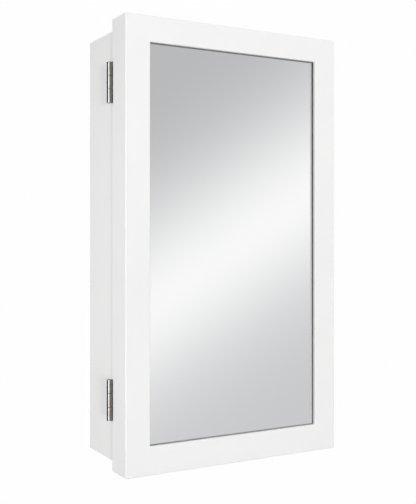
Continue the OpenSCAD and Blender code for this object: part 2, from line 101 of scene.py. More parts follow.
@dataclass(frozen=True)
class Span:
    """An upright box between two corners."""

    low: Vector
    high: Vector

    @classmethod
    def of(cls, *nodes: str) -> "Span":
        """The box round some nodes of the CAD model.

        Args:
            nodes: the nodes' names.

        Returns:
            The smallest box that holds them.
        """
        boxes = [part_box(node) for node in nodes]
        low = Vector([min(box[0][axis] for box in boxes) for axis in range(3)])
        high = Vector([max(box[1][axis] for box in boxes) for axis in range(3)])
        return cls(low, high)

    @property
    def size(self) -> Vector:
        """The box's length along each axis."""
        return self.high - self.low

    @property
    def middle(self) -> Vector:
        """The box's middle."""
        return (self.high + self.low) / 2

    def at(self, side: Side) -> float:
        """Where a face lies on its axis."""
        return (self.low, self.high)[side.end][side.axis]

    def moved(self, side: Side, place: float) -> "Span":
        """The same box with one face moved.

        Args:
            side: the face.
            place: its new place on its axis.

        Returns:
            The new box.
        """
        corners = [self.low.copy(), self.high.copy()]
        corners[side.end][side.axis] = place
        return Span(*corners)

    def grown(self, x: float = 0.0, y: float = 0.0, z: float = 0.0) -> "Span":
        """The same box, larger by these lengths at both ends of each axis."""
        by = Vector((x, y, z))
        return Span(self.low - by, self.high + by)


class Toward(Enum):
    """The way that a turned piece points, as the turn that takes +Z there."""

    RIGHT = Matrix.Rotation(math.pi / 2, 4, "Y")
    LEFT = Matrix.Rotation(-math.pi / 2, 4, "Y")
    BACK = Matrix.Rotation(-math.pi / 2, 4, "X")
    FRONT = Matrix.Rotation(math.pi / 2, 4, "X")
    UP = Matrix.Identity(4)
    DOWN = Matrix.Rotation(math.pi, 4, "X")


class Cut(Enum):
    """What the exact Boolean does with a mesh and its tools."""

    TAKE_AWAY = "DIFFERENCE"
    JOIN = "UNION"
    KEEP_COMMON = "INTERSECT"


def block(span: Span) -> Mesh:
    """A box mesh that fills a span.

    Args:
        span: the span.

    Returns:
        The box's mesh.
    """
    bm = bmesh.new()
    bmesh.ops.create_cube(bm, size=1.0, matrix=Matrix.LocRotScale(span.middle, None, span.size))
    return bm


def lies_on(edge: bmesh.types.BMEdge, side: Side, span: Span) -> bool:
    """True if both ends of an edge lie on a face of a span."""
    return all(abs(vert.co[side.axis] - span.at(side)) < CLOSE for vert in edge.verts)


def eased(bm: Mesh, span: Span, arrises: Iterable[Arris], radius: float, segments: int = 5) -> Mesh:
    """Rounds some arrises of a box.

    Args:
        bm: the box's mesh.
        span: the box that it fills.
        arrises: the arrises, each as the two faces that meet there.
        radius: the radius of the rounding.
        segments: the facets across it.

    Returns:
        The same mesh.
    """
    edges = [
        edge
        for edge in bm.edges
        if any(lies_on(edge, first, span) and lies_on(edge, other, span) for first, other in arrises)
    ]
    return rounded(bm, edges, radius, segments)


def rounded(bm: Mesh, edges: Sequence[bmesh.types.BMEdge], radius: float, segments: int) -> Mesh:
    """Rounds the given edges of a mesh.

    Args:
        bm: the mesh.
        edges: the edges.
        radius: the radius of the rounding.
        segments: the facets across it.

    Returns:
        The same mesh.
    """
    bmesh.ops.bevel(
        bm,
        geom=list(edges),
        offset=radius,
        offset_type="OFFSET",
        segments=segments,
        profile=0.5,
        affect="EDGES",
        clamp_overlap=True,
        material=-1,
    )
    return bm


def lathe(profile: Sequence[tuple[float, float]], steps: int = 32, closed: bool = False) -> Mesh:
    """Turns a profile about the Z axis.

    Args:
        profile: points as radius and height, counted along the outline.
        steps: the facets of the full turn.
        closed: True if the outline's end joins its start, as on a tube.

    Returns:
        A closed solid of revolution.
    """
    bm = bmesh.new()
    points = [bm.verts.new((radius, 0.0, height)) for radius, height in profile]
    ends = points[1:] + points[:1] if closed else points[1:]
    edges = [bm.edges.new(pair) for pair in zip(points, ends)]
    bmesh.ops.spin(
        bm,
        geom=points + edges,
        cent=(0.0, 0.0, 0.0),
        axis=(0.0, 0.0, 1.0),
        angle=math.tau,
        steps=steps,
        use_merge=True,
    )
    bmesh.ops.remove_doubles(bm, verts=bm.verts, dist=MERGED)
    bmesh.ops.recalc_face_normals(bm, faces=bm.faces)
    return bm


def rod(radius: float, half: float, steps: int) -> Mesh:
    """An upright round bar that reaches as far above the origin as below it."""
    return lathe([(0.0, -half), (radius, -half), (radius, half), (0.0, half)], steps)


def placed(bm: Mesh, at: Sequence[float], toward: Toward = Toward.UP, spin: float = 0.0) -> Mesh:
    """Moves a mesh that was made at the origin, pointing up.

    Args:
        bm: the mesh.
        at: where its origin goes.
        toward: where its +Z goes.
        spin: how far it is turned about its own axis first.

    Returns:
        The same mesh.
    """
    matrix = Matrix.Translation(at) @ toward.value @ Matrix.Rotation(spin, 4, "Z")
    bmesh.ops.transform(bm, matrix=matrix, verts=bm.verts)
    return bm


def gathered(parts: Iterable[Mesh]) -> Mesh:
    """Joins meshes into one without merging them, and frees them.

    Args:
        parts: the meshes.

    Returns:
        The new mesh.
    """
    whole = bmesh.new()
    for part in parts:
        mesh = bpy.data.meshes.new("part")
        part.to_mesh(mesh)
        part.free()
        whole.from_mesh(mesh)
        bpy.data.meshes.remove(mesh)
    return whole


def linked(name: str, bm: Mesh) -> bpy.types.Object:
    """Puts a mesh into the scene as an object.

    Args:
        name: the name of the object and of its mesh.
        bm: the mesh, which is freed.

    Returns:
        The object.
    """
    mesh = bpy.data.meshes.new(name)
    bm.to_mesh(mesh)
    bm.free()
    thing = bpy.data.objects.new(name, mesh)
    bpy.context.collection.objects.link(thing)
    return thing


def carved(bm: Mesh, tools: Iterable[Mesh], cut: Cut = Cut.TAKE_AWAY) -> Mesh:
    """Combines a mesh with others by the exact Boolean, and frees them all.

    Args:
        bm: the mesh that is worked on.
        tools: the meshes that are cut away, joined or kept in common.
        cut: which of the three is done.

    Returns:
        The new mesh.
    """
    work = linked("work", bm)
    tool = linked("tool", gathered(tools))
    boolean = work.modifiers.new("carve", "BOOLEAN")
    boolean.operation = cut.value
    boolean.solver = "EXACT"
    boolean.use_self = True
    boolean.object = tool
    result = bmesh.new()
    result.from_object(work, bpy.context.evaluated_depsgraph_get())
    for owner in (work, tool):
        mesh = owner.data
        bpy.data.objects.remove(owner)
        bpy.data.meshes.remove(mesh)
    return result


def grey(level: float) -> Tone:
    """A colour with the same level in all its channels."""
    return (level, level, level, 1.0)


class Nodes:
    """A node tree under construction."""

    def __init__(self, tree: bpy.types.NodeTree) -> None:
        """Starts with the tree that the nodes go into."""
        self.tree = tree

    def node(self, kind: str, inputs: dict, **settings: object) -> bpy.types.Node:
        """Adds a node.

        Args:
            kind: its type after ShaderNode.
            inputs: its inputs by name or number, each a value or a socket to link.
            settings: its other properties.

        Returns:
            The node.
        """
        node = self.tree.nodes.new("ShaderNode" + kind)
        for name, value in settings.items():
            setattr(node, name, value)
        for name, value in inputs.items():
            if isinstance(value, Socket):
                self.tree.links.new(value, node.inputs[name])
            else:
                node.inputs[name].default_value = value
        return node

    def maths(self, operation: str, *values: Number) -> Socket:
        """Adds a Math node with these values and gives the socket with its result."""
        return self.node("Math", dict(enumerate(values)), operation=operation).outputs[0]

    def mixed(self, share: Socket, first: Tone | Socket, second: Tone | Socket) -> Socket:
        """Mixes two colours, the second of which has the share."""
        inputs = dict(zip(MIX_INPUTS, (share, first, second)))
        return self.node("Mix", inputs, data_type="RGBA").outputs[MIX_RESULT]

    def scaled(self, colour: Colour | Socket, by: Socket) -> Socket:
        """Multiplies a colour by a number."""
        return self.node("VectorMath", {"Vector": colour, "Scale": by}, operation="SCALE").outputs[0]

    def surface(self, output: str, share: Socket, first: bpy.types.Node, second: bpy.types.Node) -> None:
        """Links a mix of two shaders, the second of which has the share, to the named output."""
        mix = self.node("MixShader", {0: share, 1: first.outputs[0], 2: second.outputs[0]})
        self.tree.links.new(mix.outputs[0], self.tree.nodes[output].inputs["Surface"])

    def seen_directly(self) -> Socket:
        """Tells what is seen from the light that falls on things.

        Returns:
            The socket with 1 for rays from the camera, a reflection or clear rubber, and 0 for others.
        """
        path = self.node("LightPath", {}).outputs
        seen = self.maths("MAXIMUM", path["Is Camera Ray"], path["Is Glossy Ray"])
        return self.maths("MAXIMUM", seen, path["Is Transmission Ray"])


def unshaded(name: str) -> tuple[bpy.types.Material, Nodes]:
    """Starts a material with nothing but its output.

    Args:
        name: the material's name.

    Returns:
        The material and its nodes.
    """
    material = bpy.data.materials.new(name)
    material.use_nodes = True
    material.node_tree.nodes.remove(material.node_tree.nodes["Principled BSDF"])
    return material, Nodes(material.node_tree)


class Shader(Nodes):
    """A Principled material under construction, whose patterns are read in object coordinates."""

    def __init__(self, name: str) -> None:
        """Starts the material.

        Args:
            name: the material's name.
        """
        self.material = bpy.data.materials.new(name)
        self.material.use_nodes = True
        super().__init__(self.material.node_tree)
        self.principled = self.tree.nodes["Principled BSDF"]
        self.place = self.node("TexCoord", {}).outputs["Object"]

    def constants(self, **values: float) -> None:
        """Sets sockets of the shader that are the same all over, named with _ for a space."""
        for name, value in values.items():
            self.principled.inputs[name.replace("_", " ")].default_value = value

    def drive(self, socket: str, source: Socket) -> None:
        """Links a pattern to a socket of the shader."""
        self.tree.links.new(source, self.principled.inputs[socket])

    def noise(self, size: float, detail: float = 2.0, stretch: Stretch = (1.0, 1.0, 1.0)) -> Socket:
        """A noise pattern.

        Args:
            size: the width of its blotches.
            detail: its finer octaves.
            stretch: how many times longer they are along each axis.

        Returns:
            The socket with its value, which lies between the noise ends.
        """
        scale = tuple(1.0 / (size * share) for share in stretch)
        mapping = self.node("Mapping", {"Vector": self.place, "Scale": scale})
        texture = self.node("TexNoise", {"Vector": mapping.outputs[0], "Scale": 1.0, "Detail": detail})
        return texture.outputs[0]

    def ranged(self, value: Socket, low: float, high: float) -> Socket:
        """Spreads a noise pattern between two numbers."""
        names = ("Value", "From Min", "From Max", "To Min", "To Max")
        return self.node("MapRange", dict(zip(names, (value, *NOISE_ENDS, low, high)))).outputs[0]

    def tinted(self, value: Socket, low: Colour, high: Colour) -> Socket:
        """Spreads a noise pattern between two colours."""
        return self.mixed(self.ranged(value, 0.0, 1.0), (*low, 1.0), (*high, 1.0))

    def relief(self, *layers: tuple[Socket, float]) -> None:
        """Gives the surface a relief.

        Args:
            layers: patterns, each with the depth in metres that its full range stands for.
        """
        normal = None
        for height, depth in layers:
            inputs = {"Height": height, "Strength": 1.0, "Distance": depth}
            if normal:
                inputs["Normal"] = normal
            normal = self.node("Bump", inputs).outputs[0]
        self.drive("Normal", normal)


@dataclass(frozen=True)
class SatinPaint:
    """Sprayed satin lacquer over sanded wood, with a faint orange peel."""

    name: str = "satin_paint"
    slot: str = "white_paint"
    light: Colour = (0.885, 0.885, 0.882)
    shade: Colour = (0.868, 0.868, 0.866)
    gloss: Ends = (0.34, 0.44)
    bend: float = 1.15
    cloud_size: float = 90 * MM
    gloss_size: float = 6 * MM
    peel_size: float = 1.6 * MM
    peel_depth: float = 0.012 * MM
    sanding_size: float = 14 * MM
    sanding_depth: float = 0.03 * MM

    def material(self) -> bpy.types.Material:
        """Makes the material.

        Returns:
            The material.
        """
        shader = Shader(self.name)
        cloud = shader.noise(self.cloud_size, detail=3.0)
        shader.drive("Base Color", shader.tinted(cloud, self.shade, self.light))
        patches = shader.noise(self.gloss_size, detail=3.0)
        shader.drive("Roughness", shader.ranged(patches, *self.gloss))
        shader.relief(
            (shader.noise(self.sanding_size, detail=1.0), self.sanding_depth),
            (shader.noise(self.peel_size, detail=1.0), self.peel_depth),
        )
        shader.constants(IOR=self.bend)
        return shader.material


@dataclass(frozen=True)
class FacedBoard:
    """Thin hardboard with a white face and a fine pressed texture."""

    name: str = "faced_board"
    slot: str = "white_board"
    light: Colour = (0.87, 0.87, 0.862)
    shade: Colour = (0.835, 0.835, 0.825)
    gloss: Ends = (0.45, 0.65)
    cloud_size: float = 40 * MM
    fibre: float = 0.9 * MM
    fibre_depth: float = 0.03 * MM
    along: Stretch = (1.0, 1.0, 2.5)

    def material(self) -> bpy.types.Material:
        """Makes the material.

        Returns:
            The material.
        """
        shader = Shader(self.name)
        cloud = shader.noise(self.cloud_size, detail=4.0)
        fibres = shader.noise(self.fibre, detail=3.0, stretch=self.along)
        shader.drive("Base Color", shader.tinted(cloud, self.shade, self.light))
        shader.drive("Roughness", shader.ranged(fibres, *self.gloss))
        shader.relief((fibres, self.fibre_depth))
        return shader.material


@dataclass(frozen=True)
class Silvering:
    """The silver layer of a mirror, seen through clear glass."""

    name: str = "silvering"
    slot: str = "mirror"
    clean: Colour = (0.942, 0.942, 0.942)
    hazed: Colour = (0.936, 0.937, 0.938)
    haze_size: float = 120 * MM

    def material(self) -> bpy.types.Material:
        """Makes the material.

        Returns:
            The material.
        """
        shader = Shader(self.name)
        haze = shader.noise(self.haze_size)
        shader.drive("Base Color", shader.tinted(haze, self.hazed, self.clean))
        shader.constants(Metallic=1.0, Roughness=0.0)
        return shader.material


@dataclass(frozen=True)
class GroundEdgeAndShade:
    """The ground edge of plate glass and the dark lacquer behind the silver, and painted shade on the
    walls round the recessed silver, which stand for the glass in front of it.
    """

    name: str = "ground_edge_and_painted_shade"
    slot: str = "mirror"
    light: Colour = (0.07, 0.085, 0.08)
    shade: Colour = (0.03, 0.038, 0.036)
    gloss: Ends = (0.5, 0.75)
    grain: float = 0.6 * MM

    def material(self) -> bpy.types.Material:
        """Makes the material.

        Returns:
            The material.
        """
        shader = Shader(self.name)
        grain = shader.noise(self.grain)
        shader.drive("Base Color", shader.tinted(grain, self.shade, self.light))
        shader.drive("Roughness", shader.ranged(grain, *self.gloss))
        return shader.material


@dataclass(frozen=True)
class Plate:
    """Plated steel with fine rolling marks along one axis."""

    name: str
    slot: str
    light: Colour
    shade: Colour
    gloss: Ends
    along: Stretch = (1.0, 1.0, 12.0)
    mark: float = 0.35 * MM
    mark_depth: float = 0.004 * MM
    cloud_size: float = 5 * MM

    def material(self) -> bpy.types.Material:
        """Makes the material.

        Returns:
            The material.
        """
        shader = Shader(self.name)
        marks = shader.noise(self.mark, stretch=self.along)
        cloud = shader.noise(self.cloud_size, detail=4.0)
        shader.drive("Base Color", shader.tinted(cloud, self.shade, self.light))
        shader.drive("Roughness", shader.ranged(marks, *self.gloss))
        shader.relief((marks, self.mark_depth))
        shader.constants(Metallic=1.0)
        return shader.material


@dataclass(frozen=True)
class Beech:
    """Bare beech, with its grain along X and the fine flecks of its rays."""

    name: str = "bare_beech"
    slot: str = "beech"
    light: Colour = (0.62, 0.42, 0.25)
    shade: Colour = (0.47, 0.29, 0.155)
    gloss: Ends = (0.55, 0.75)
    grain: float = 0.8 * MM
    grain_depth: float = 0.05 * MM
    along: Stretch = (16.0, 1.0, 1.0)

    def material(self) -> bpy.types.Material:
        """Makes the material.

        Returns:
            The material.
        """
        shader = Shader(self.name)
        grain = shader.noise(self.grain, detail=4.0, stretch=self.along)
        shader.drive("Base Color", shader.tinted(grain, self.shade, self.light))
        shader.drive("Roughness", shader.ranged(grain, *self.gloss))
        shader.relief((grain, self.grain_depth))
        return shader.material


@dataclass(frozen=True)
class Moulding:
    """A moulded or sintered part with an even tone and a light grain."""

    name: str
    slot: str
    light: Colour
    shade: Colour
    gloss: Ends
    grain: float = 0.5 * MM
    grain_depth: float = 0.01 * MM
    cloud_size: float = 4 * MM
    clear: float = 0.0
    bend: float = 1.47

    def material(self) -> bpy.types.Material:
        """Makes the material.

        Returns:
            The material.
        """
        shader = Shader(self.name)
        grain = shader.noise(self.grain)
        cloud = shader.noise(self.cloud_size, detail=3.0)
        shader.drive("Base Color", shader.tinted(cloud, self.shade, self.light))
        shader.drive("Roughness", shader.ranged(grain, *self.gloss))
        shader.relief((grain, self.grain_depth))
        shader.constants(Transmission_Weight=self.clear, IOR=self.bend)
        return shader.material


PAINT = SatinPaint()
BOARD = FacedBoard()
SILVER = Silvering()
EDGE = GroundEdgeAndShade()
BEECH = Beech()
# The nickel's base colour is set well below bare nickel. This is partly painted shade, standing in for
# the dark reflections and the shadow round the hinge barrels. The screws and shelf pins that share it
# are darkened too.
NICKEL = Plate("nickel_darkened_as_shade", "nickel", (0.27, 0.261, 0.244), (0.2, 0.193, 0.18), (0.15, 0.22))
ZINC = Plate("bright_zinc", "zinc", (0.66, 0.68, 0.69), (0.5, 0.51, 0.53), (0.26, 0.42), (1.0, 1.0, 1.0))
SLEEVE = Moulding("sleeve_plastic", "sleeve_plastic", (0.8, 0.8, 0.78), (0.76, 0.76, 0.74), (0.35, 0.5))
FERRITE = Moulding("ferrite", "ferrite", (0.05, 0.05, 0.053), (0.025, 0.025, 0.027), (0.5, 0.75))
RUBBER = Moulding(
    "clear_rubber", "clear_rubber", (0.93, 0.94, 0.94), (0.88, 0.9, 0.9), (0.15, 0.3), clear=0.8
)
Finish = SatinPaint | FacedBoard | Silvering | GroundEdgeAndShade | Plate | Beech | Moulding


class Workshop:
    """Turns finished meshes into pieces of the scene."""

    def __init__(self) -> None:
        """Starts with no material made."""
        self.made: dict[Finish, bpy.types.Material] = {}

    def material(self, finish: Finish) -> bpy.types.Material:
        """Gives a finish's material, which is made once.

        Args:
            finish: the finish.

        Returns:
            The material.
        """
        if finish not in self.made:
            self.made[finish] = finish.material()
        return self.made[finish]

    def piece(self, name: str, bm: Mesh, finishes: Sequence[Finish], body: str, *nodes: str) -> None:
        """Makes a piece that rides on a body and stands for nodes of the CAD model.

        Args:
            name: the piece's name.
            bm: its mesh, which is freed.
            finishes: its finishes, in the order of the mesh's material numbers.
            body: the body that it moves with.
            nodes: the CAD nodes that it replaces.
        """
        piece = linked(name, bm)
        for finish in finishes:
            piece.data.materials.append(self.material(finish))
        self.shade(piece)
        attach(piece, body)
        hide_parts(*nodes)
        LOG.info("%s: %d faces, rides on %s", name, len(piece.data.polygons), body)

    @staticmethod
    def shade(piece: bpy.types.Object, sharp: float = math.radians(32), weight: int = 100) -> None:
        """Shades roundings smooth and flats flat, and keeps that in the mesh.

        Args:
            piece: the object.
            sharp: the angle past which an edge stays sharp.
            weight: how far large faces outweigh small ones, up to 100.
        """
        piece.data.shade_smooth()
        piece.data.set_sharp_from_angle(angle=sharp)
        weights = piece.modifiers.new("weights", "WEIGHTED_NORMAL")
        weights.weight = weight
        weights.keep_sharp = True
        graph = bpy.context.evaluated_depsgraph_get()
        shaded = bpy.data.meshes.new_from_object(piece.evaluated_get(graph))
        shaded.name = piece.name
        old = piece.data
        piece.modifiers.clear()
        piece.data = shaded
        bpy.data.meshes.remove(old)

    def keep(self, node: str, finish: Finish) -> None:
        """Gives a node of the CAD model that stays in sight a finish.

        Args:
            node: the node's name.
            finish: its finish.
        """
        mesh = frame["nodes"][node].data
        mesh.materials.clear()
        mesh.materials.append(self.material(finish))
        LOG.info("%s: kept from the CAD model", node)


@dataclass(frozen=True)
class RebatedFrame:
    """Four members round an opening that widens to a rebate behind.

    The mesh is made as one ring, so that its arrises run round the corners, and is then cut into
    members at the ends of the two crosswise ones.
    """

    outer: Span
    opening: Span
    rebate: Span
    round_arrises: tuple[Arris, ...]
    radius: float
    opening_radius: float

    @staticmethod
    def fit(face: bmesh.types.BMFace, span: Span, depth: float) -> None:
        """Moves the corners of a rectangular face onto a span's outline.

        Args:
            face: the face, square to the Y axis.
            span: the span.
            depth: the face's new place along Y.
        """
        middle = face.calc_center_median()
        for vert in face.verts:
            x = span.high.x if vert.co.x > middle.x else span.low.x
            z = span.high.z if vert.co.z > middle.z else span.low.z
            vert.co = (x, depth, z)

    def ring(self) -> Mesh:
        """Makes the whole ring.

        Returns:
            The ring's mesh.
        """
        bm = block(self.outer)
        bm.faces.ensure_lookup_table()
        front = min(bm.faces, key=lambda face: face.calc_center_median().y)
        back = max(bm.faces, key=lambda face: face.calc_center_median().y)
        for face, span in ((front, self.opening), (back, self.rebate)):
            bmesh.ops.inset_individual(bm, faces=[face], thickness=MM)
            self.fit(face, span, face.calc_center_median().y)
        steps = (
            (self.opening, self.rebate.low.y),
            (self.rebate, self.rebate.low.y),
            (self.rebate, self.outer.high.y),
        )
        for span, depth in steps:
            front = bmesh.ops.extrude_discrete_faces(bm, faces=[front])["faces"][0]
            self.fit(front, span, depth)
        bmesh.ops.delete(bm, geom=[front, back], context="FACES_ONLY")
        bmesh.ops.remove_doubles(bm, verts=bm.verts, dist=CLOSE)
        bmesh.ops.recalc_face_normals(bm, faces=bm.faces)
        self.ease_opening(bm)
        return eased(bm, self.outer, self.round_arrises, self.radius)

    def ease_opening(self, bm: Mesh) -> None:
        """Rounds the arrises of the opening in front.

        Args:
            bm: the ring's mesh.
        """
        flat = self.outer.low.y
        inner = self.opening.grown(CLOSE, 0.0, CLOSE)
        edges = [
            edge
            for edge in bm.edges
            if all(
                abs(vert.co.y - flat) < CLOSE
                and inner.low.x < vert.co.x < inner.high.x
                and inner.low.z < vert.co.z < inner.high.z
                for vert in edge.verts
            )
        ]
        rounded(bm, edges, self.opening_radius, segments=4)

    def member(self, side: Side) -> Mesh:
        """Makes one member.

        Args:
            side: the side of the opening that it lies on. The left and right members run the whole
                height, and the others fit between them.

        Returns:
            Its mesh.
        """
        left, right = self.opening.low.x, self.opening.high.x
        keep = self.outer.grown(self.radius, self.radius, self.radius)
        if side is Side.LEFT:
            keep = keep.moved(Side.RIGHT, left)
        elif side is Side.RIGHT:
            keep = keep.moved(Side.LEFT, right)
        else:
            keep = keep.moved(Side.LEFT, left).moved(Side.RIGHT, right)
            inward = Side.BOTTOM if side is Side.TOP else Side.TOP
            keep = keep.moved(inward, self.opening.middle.z)
        return carved(self.ring(), [block(keep)], Cut.KEEP_COMMON)


@dataclass(frozen=True)
class Screw:
    """A countersunk cross-recess screw, with its head's top at the origin and its point downwards.

    Each turn of the thread is a groove that slopes in, runs level and slopes out again, at the
    groove's shares of the pitch.
    """

    length: float
    shank: float = 1.5 * MM
    head: float = 2.8 * MM
    head_height: float = 1.5 * MM
    head_rim: float = 0.2 * MM
    head_ease: float = 0.12 * MM
    head_fall: float = 0.1 * MM
    point: float = 3 * MM
    tip: float = 0.5 * MM
    thread_depth: float = 0.3 * MM
    thread_pitch: float = 1.2 * MM
    groove: tuple[float, float, float] = (0.3, 0.6, 0.9)
    plain: float = 3 * MM
    recess: float = 1.5 * MM
    recess_width: float = 0.75 * MM
    recess_depth: float = 1.1 * MM
    recess_taper: Ends = (0.35, 0.6)
    play: float = 0.05 * MM
    clear: float = 2 * MM
    facets: int = 24

    def shape(self) -> Mesh:
        """Makes the screw.

        Returns:
            The screw's mesh.
        """
        outline = [(0.0, 0.0), (self.head - self.head_ease, 0.0), (self.head, -self.head_fall)]
        outline += [(self.head, -self.head_rim), (self.shank, -self.head_height)]
        height = -self.plain
        outline.append((self.shank, height))
        root = self.shank - self.thread_depth
        while height - self.thread_pitch > self.point - self.length:
            for radius, share in zip((root, root, self.shank), self.groove):
                outline.append((radius, height - share * self.thread_pitch))
            height -= self.thread_pitch
            outline.append((self.shank, height))
        outline += [(self.tip, -self.length), (0.0, -self.length)]
        return carved(lathe(outline, self.facets), self.recess_tools())

    def recess_tools(self) -> list[Mesh]:
        """Makes the two tapered bars whose cross is the recess.

        Returns:
            The meshes that cut it.
        """
        tools = []
        for turn in (0.0, math.pi / 2):
            size = Vector((2 * self.recess, self.recess_width, 2 * self.recess_depth))
            bar = block(Span(-size / 2, size / 2))
            for vert in bar.verts:
                if vert.co.z < 0:
                    vert.co.x *= self.recess_taper[0]
                    vert.co.y *= self.recess_taper[1]
            tools.append(placed(bar, (0.0, 0.0, 0.0), spin=turn))
        return tools

    def countersink(self) -> Mesh:
        """Makes the hole that takes the head, open above it.

        Returns:
            The mesh that cuts it.
        """
        wide, narrow = self.head + self.play, self.shank + self.play
        outline = [(0.0, self.clear), (wide, self.clear), (wide, -self.head_rim)]
        outline += [(narrow, -self.head_height), (narrow, -self.length), (0.0, -self.length)]
        return lathe(outline, self.facets)


@dataclass(frozen=True)
class Fixing:
    """The places of one node's screws, with the way that their heads face.

    Each screw's recess is turned from the one before, as on screws that are driven by hand.
    """

    node: str
    body: str
    screw: Screw
    places: tuple[tuple[Vector, Toward], ...]
    turn: float = math.radians(137.5)

    def pieces(self, workshop: Workshop, finish: Finish) -> None:
        """Makes the screws as one piece.

        Args:
            workshop: where the piece is made.
            finish: the screws' finish.
        """
        pattern = self.screw.shape()
        parts = [
            placed(pattern.copy(), at, toward, number * self.turn)
            for number, (at, toward) in enumerate(self.places)
        ]
        pattern.free()
        workshop.piece(self.node + "_turned", gathered(parts), [finish], self.body, self.node)

    def countersinks(self) -> list[Mesh]:
        """The holes for the screws' heads."""
        return [placed(self.screw.countersink(), at, toward) for at, toward in self.places]


def spread(low: float, high: float, count: int) -> list[float]:
    """Evenly spaced numbers, with both ends."""
    return [low + (high - low) * number / (count - 1) for number in range(count)]


@dataclass(frozen=True)
class Hinge:
    """One of the two butt hinges, with three knuckles."""

    place: str
    axis: Vector = field(default_factory=lambda: Vector(frame["joints"][0]["pos_m"]))
    barrel: float = 4.25 * MM
    bore: float = 2.25 * MM
    pin: float = 2.2 * MM
    leaf: float = 2 * MM
    leaf_gap: float = 0.4 * MM
    knuckle_gap: float = 0.3 * MM
    knuckles: int = 3
    relief: float = 1.4 * MM
    play: float = 0.6 * MM
    screw: Screw = Screw(16 * MM)
    screws: int = 3
    screw_inset: float = 6.25 * MM
    screw_pitch: float = 20 * MM
    corner: float = 1.2 * MM
    ease: float = 0.25 * MM
    dome: float = 0.45 * MM
    dome_fall: float = 0.08 * MM
    dome_share: float = 0.55

    @property
    def span(self) -> Span:
        """The box round both leaves."""
        return Span.of(f"hinge_{self.place}_body_leaf", f"hinge_{self.place}_door_leaf")

    @property
    def outer(self) -> float:
        """The distance from the hinge's plane to a leaf's outer face."""
        return self.leaf_gap / 2 + self.leaf

    @property
    def knuckle(self) -> float:
        """A knuckle's length."""
        return (self.span.size.z - (self.knuckles - 1) * self.knuckle_gap) / self.knuckles

    def plate(self, way: int, low_x: float, low_z: float, high_z: float) -> Span:
        """The box of a leaf, or of a strip of it.

        Args:
            way: 1 for the cabinet's leaf and -1 for the door's.
            low_x: its end towards the pin.
            low_z: its lower end.
            high_z: its upper end.

        Returns:
            The box, up to the leaf's free edge.
        """
        near = self.axis.y + way * self.leaf_gap / 2
        far = self.axis.y + way * self.outer
        low = Vector((low_x, min(near, far), low_z))
        return Span(low, Vector((self.span.high.x, max(near, far), high_z)))

    def tube(self, low_z: float) -> Mesh:
        """Makes one knuckle.

        Args:
            low_z: the height of its lower end.

        Returns:
            The knuckle's mesh.
        """
        top, edge = self.knuckle, self.ease
        outline = [(self.bore, 0.0), (self.barrel - edge, 0.0), (self.barrel, edge)]
        outline += [(self.barrel, top - edge), (self.barrel - edge, top), (self.bore, top)]
        return placed(lathe(outline, steps=48, closed=True), (self.axis.x, self.axis.y, low_z))

    def leaf_mesh(self, way: int, numbers: Sequence[int]) -> Mesh:
        """Makes a leaf with its knuckles.

        Args:
            way: 1 for the cabinet's leaf and -1 for the door's.
            numbers: its knuckles, counted from below.

        Returns:
            The leaf's mesh.
        """
        span = self.span
        start = self.axis.x + self.barrel + self.relief
        plate = self.plate(way, start, span.low.z, span.high.z)
        corners = ((Side.RIGHT, Side.TOP), (Side.RIGHT, Side.BOTTOM))
        leaf = eased(block(plate), plate, corners, self.corner)
        parts = []
        for number in numbers:
            low = span.low.z + number * (self.knuckle + self.knuckle_gap)
            high = low + self.knuckle
            strip = self.plate(way, self.axis.x + self.bore, low + self.ease, high - self.ease)
            parts.append(block(strip.moved(Side.RIGHT, start + self.corner)))
            parts.append(self.tube(low))
        whole = carved(leaf, parts, Cut.JOIN)
        well = rod(self.bore, THROUGH, steps=48)
        well = placed(well, (self.axis.x, self.axis.y, span.middle.z))
        return carved(whole, [well, *self.fixing(way).countersinks()])

    def fixing(self, way: int) -> Fixing:
        """Places the screws of one leaf.

        Args:
            way: 1 for the cabinet's leaf and -1 for the door's.

        Returns:
            The screws.
        """
        x = self.span.high.x - self.screw_inset
        y = self.axis.y + way * self.leaf_gap / 2
        heads = Toward.FRONT if way > 0 else Toward.BACK
        middle = self.span.middle.z
        heights = spread(middle - self.screw_pitch, middle + self.screw_pitch, self.screws)
        places = tuple((Vector((x, y, z)), heads) for z in heights)
        body = "cabinet" if way > 0 else "door"
        node = "hinge_body_screws" if way > 0 else "hinge_door_screws"
        return Fixing(node, body, self.screw, places)

    def mortise_tools(self) -> list[Mesh]:
        """Makes what the hinge's mortises take off the stile and the side panel.

        Returns:
            The meshes that cut them.
        """
        span = self.span.grown(z=self.play)
        low = Vector((self.axis.x, self.axis.y - self.outer, span.low.z))
        high = Vector((span.high.x + self.play, self.axis.y + self.outer, span.high.z))
        round_part = rod(self.barrel + self.relief, span.size.z / 2, steps=64)
        return [block(Span(low, high)), placed(round_part, (self.axis.x, self.axis.y, span.middle.z))]

    def pin_mesh(self) -> Mesh:
        """Makes the pin, with slightly domed ends.

        Returns:
            The pin's mesh.
        """
        low = -self.span.size.z / 2
        outline = [(0.0, low), (self.pin * self.dome_share, low + self.dome_fall)]
        outline.append((self.pin, low + self.dome))
        outline += [(radius, -height) for radius, height in reversed(outline)]
        return placed(lathe(outline), (self.axis.x, self.axis.y, self.span.middle.z))

    def build(self, workshop: Workshop) -> None:
        """Makes the hinge's leaves and pin.

        Args:
            workshop: where the pieces are made.
        """
        leaves = (("body", "cabinet", 1, (0, 2)), ("door", "door", -1, (1,)))
        for name, body, way, numbers in leaves:
            node = f"hinge_{self.place}_{name}_leaf"
            workshop.piece(node + "_rolled", self.leaf_mesh(way, numbers), [NICKEL], body, node)
        node = f"hinge_{self.place}_pin"
        workshop.piece(node + "_turned", self.pin_mesh(), [NICKEL], "cabinet", node)


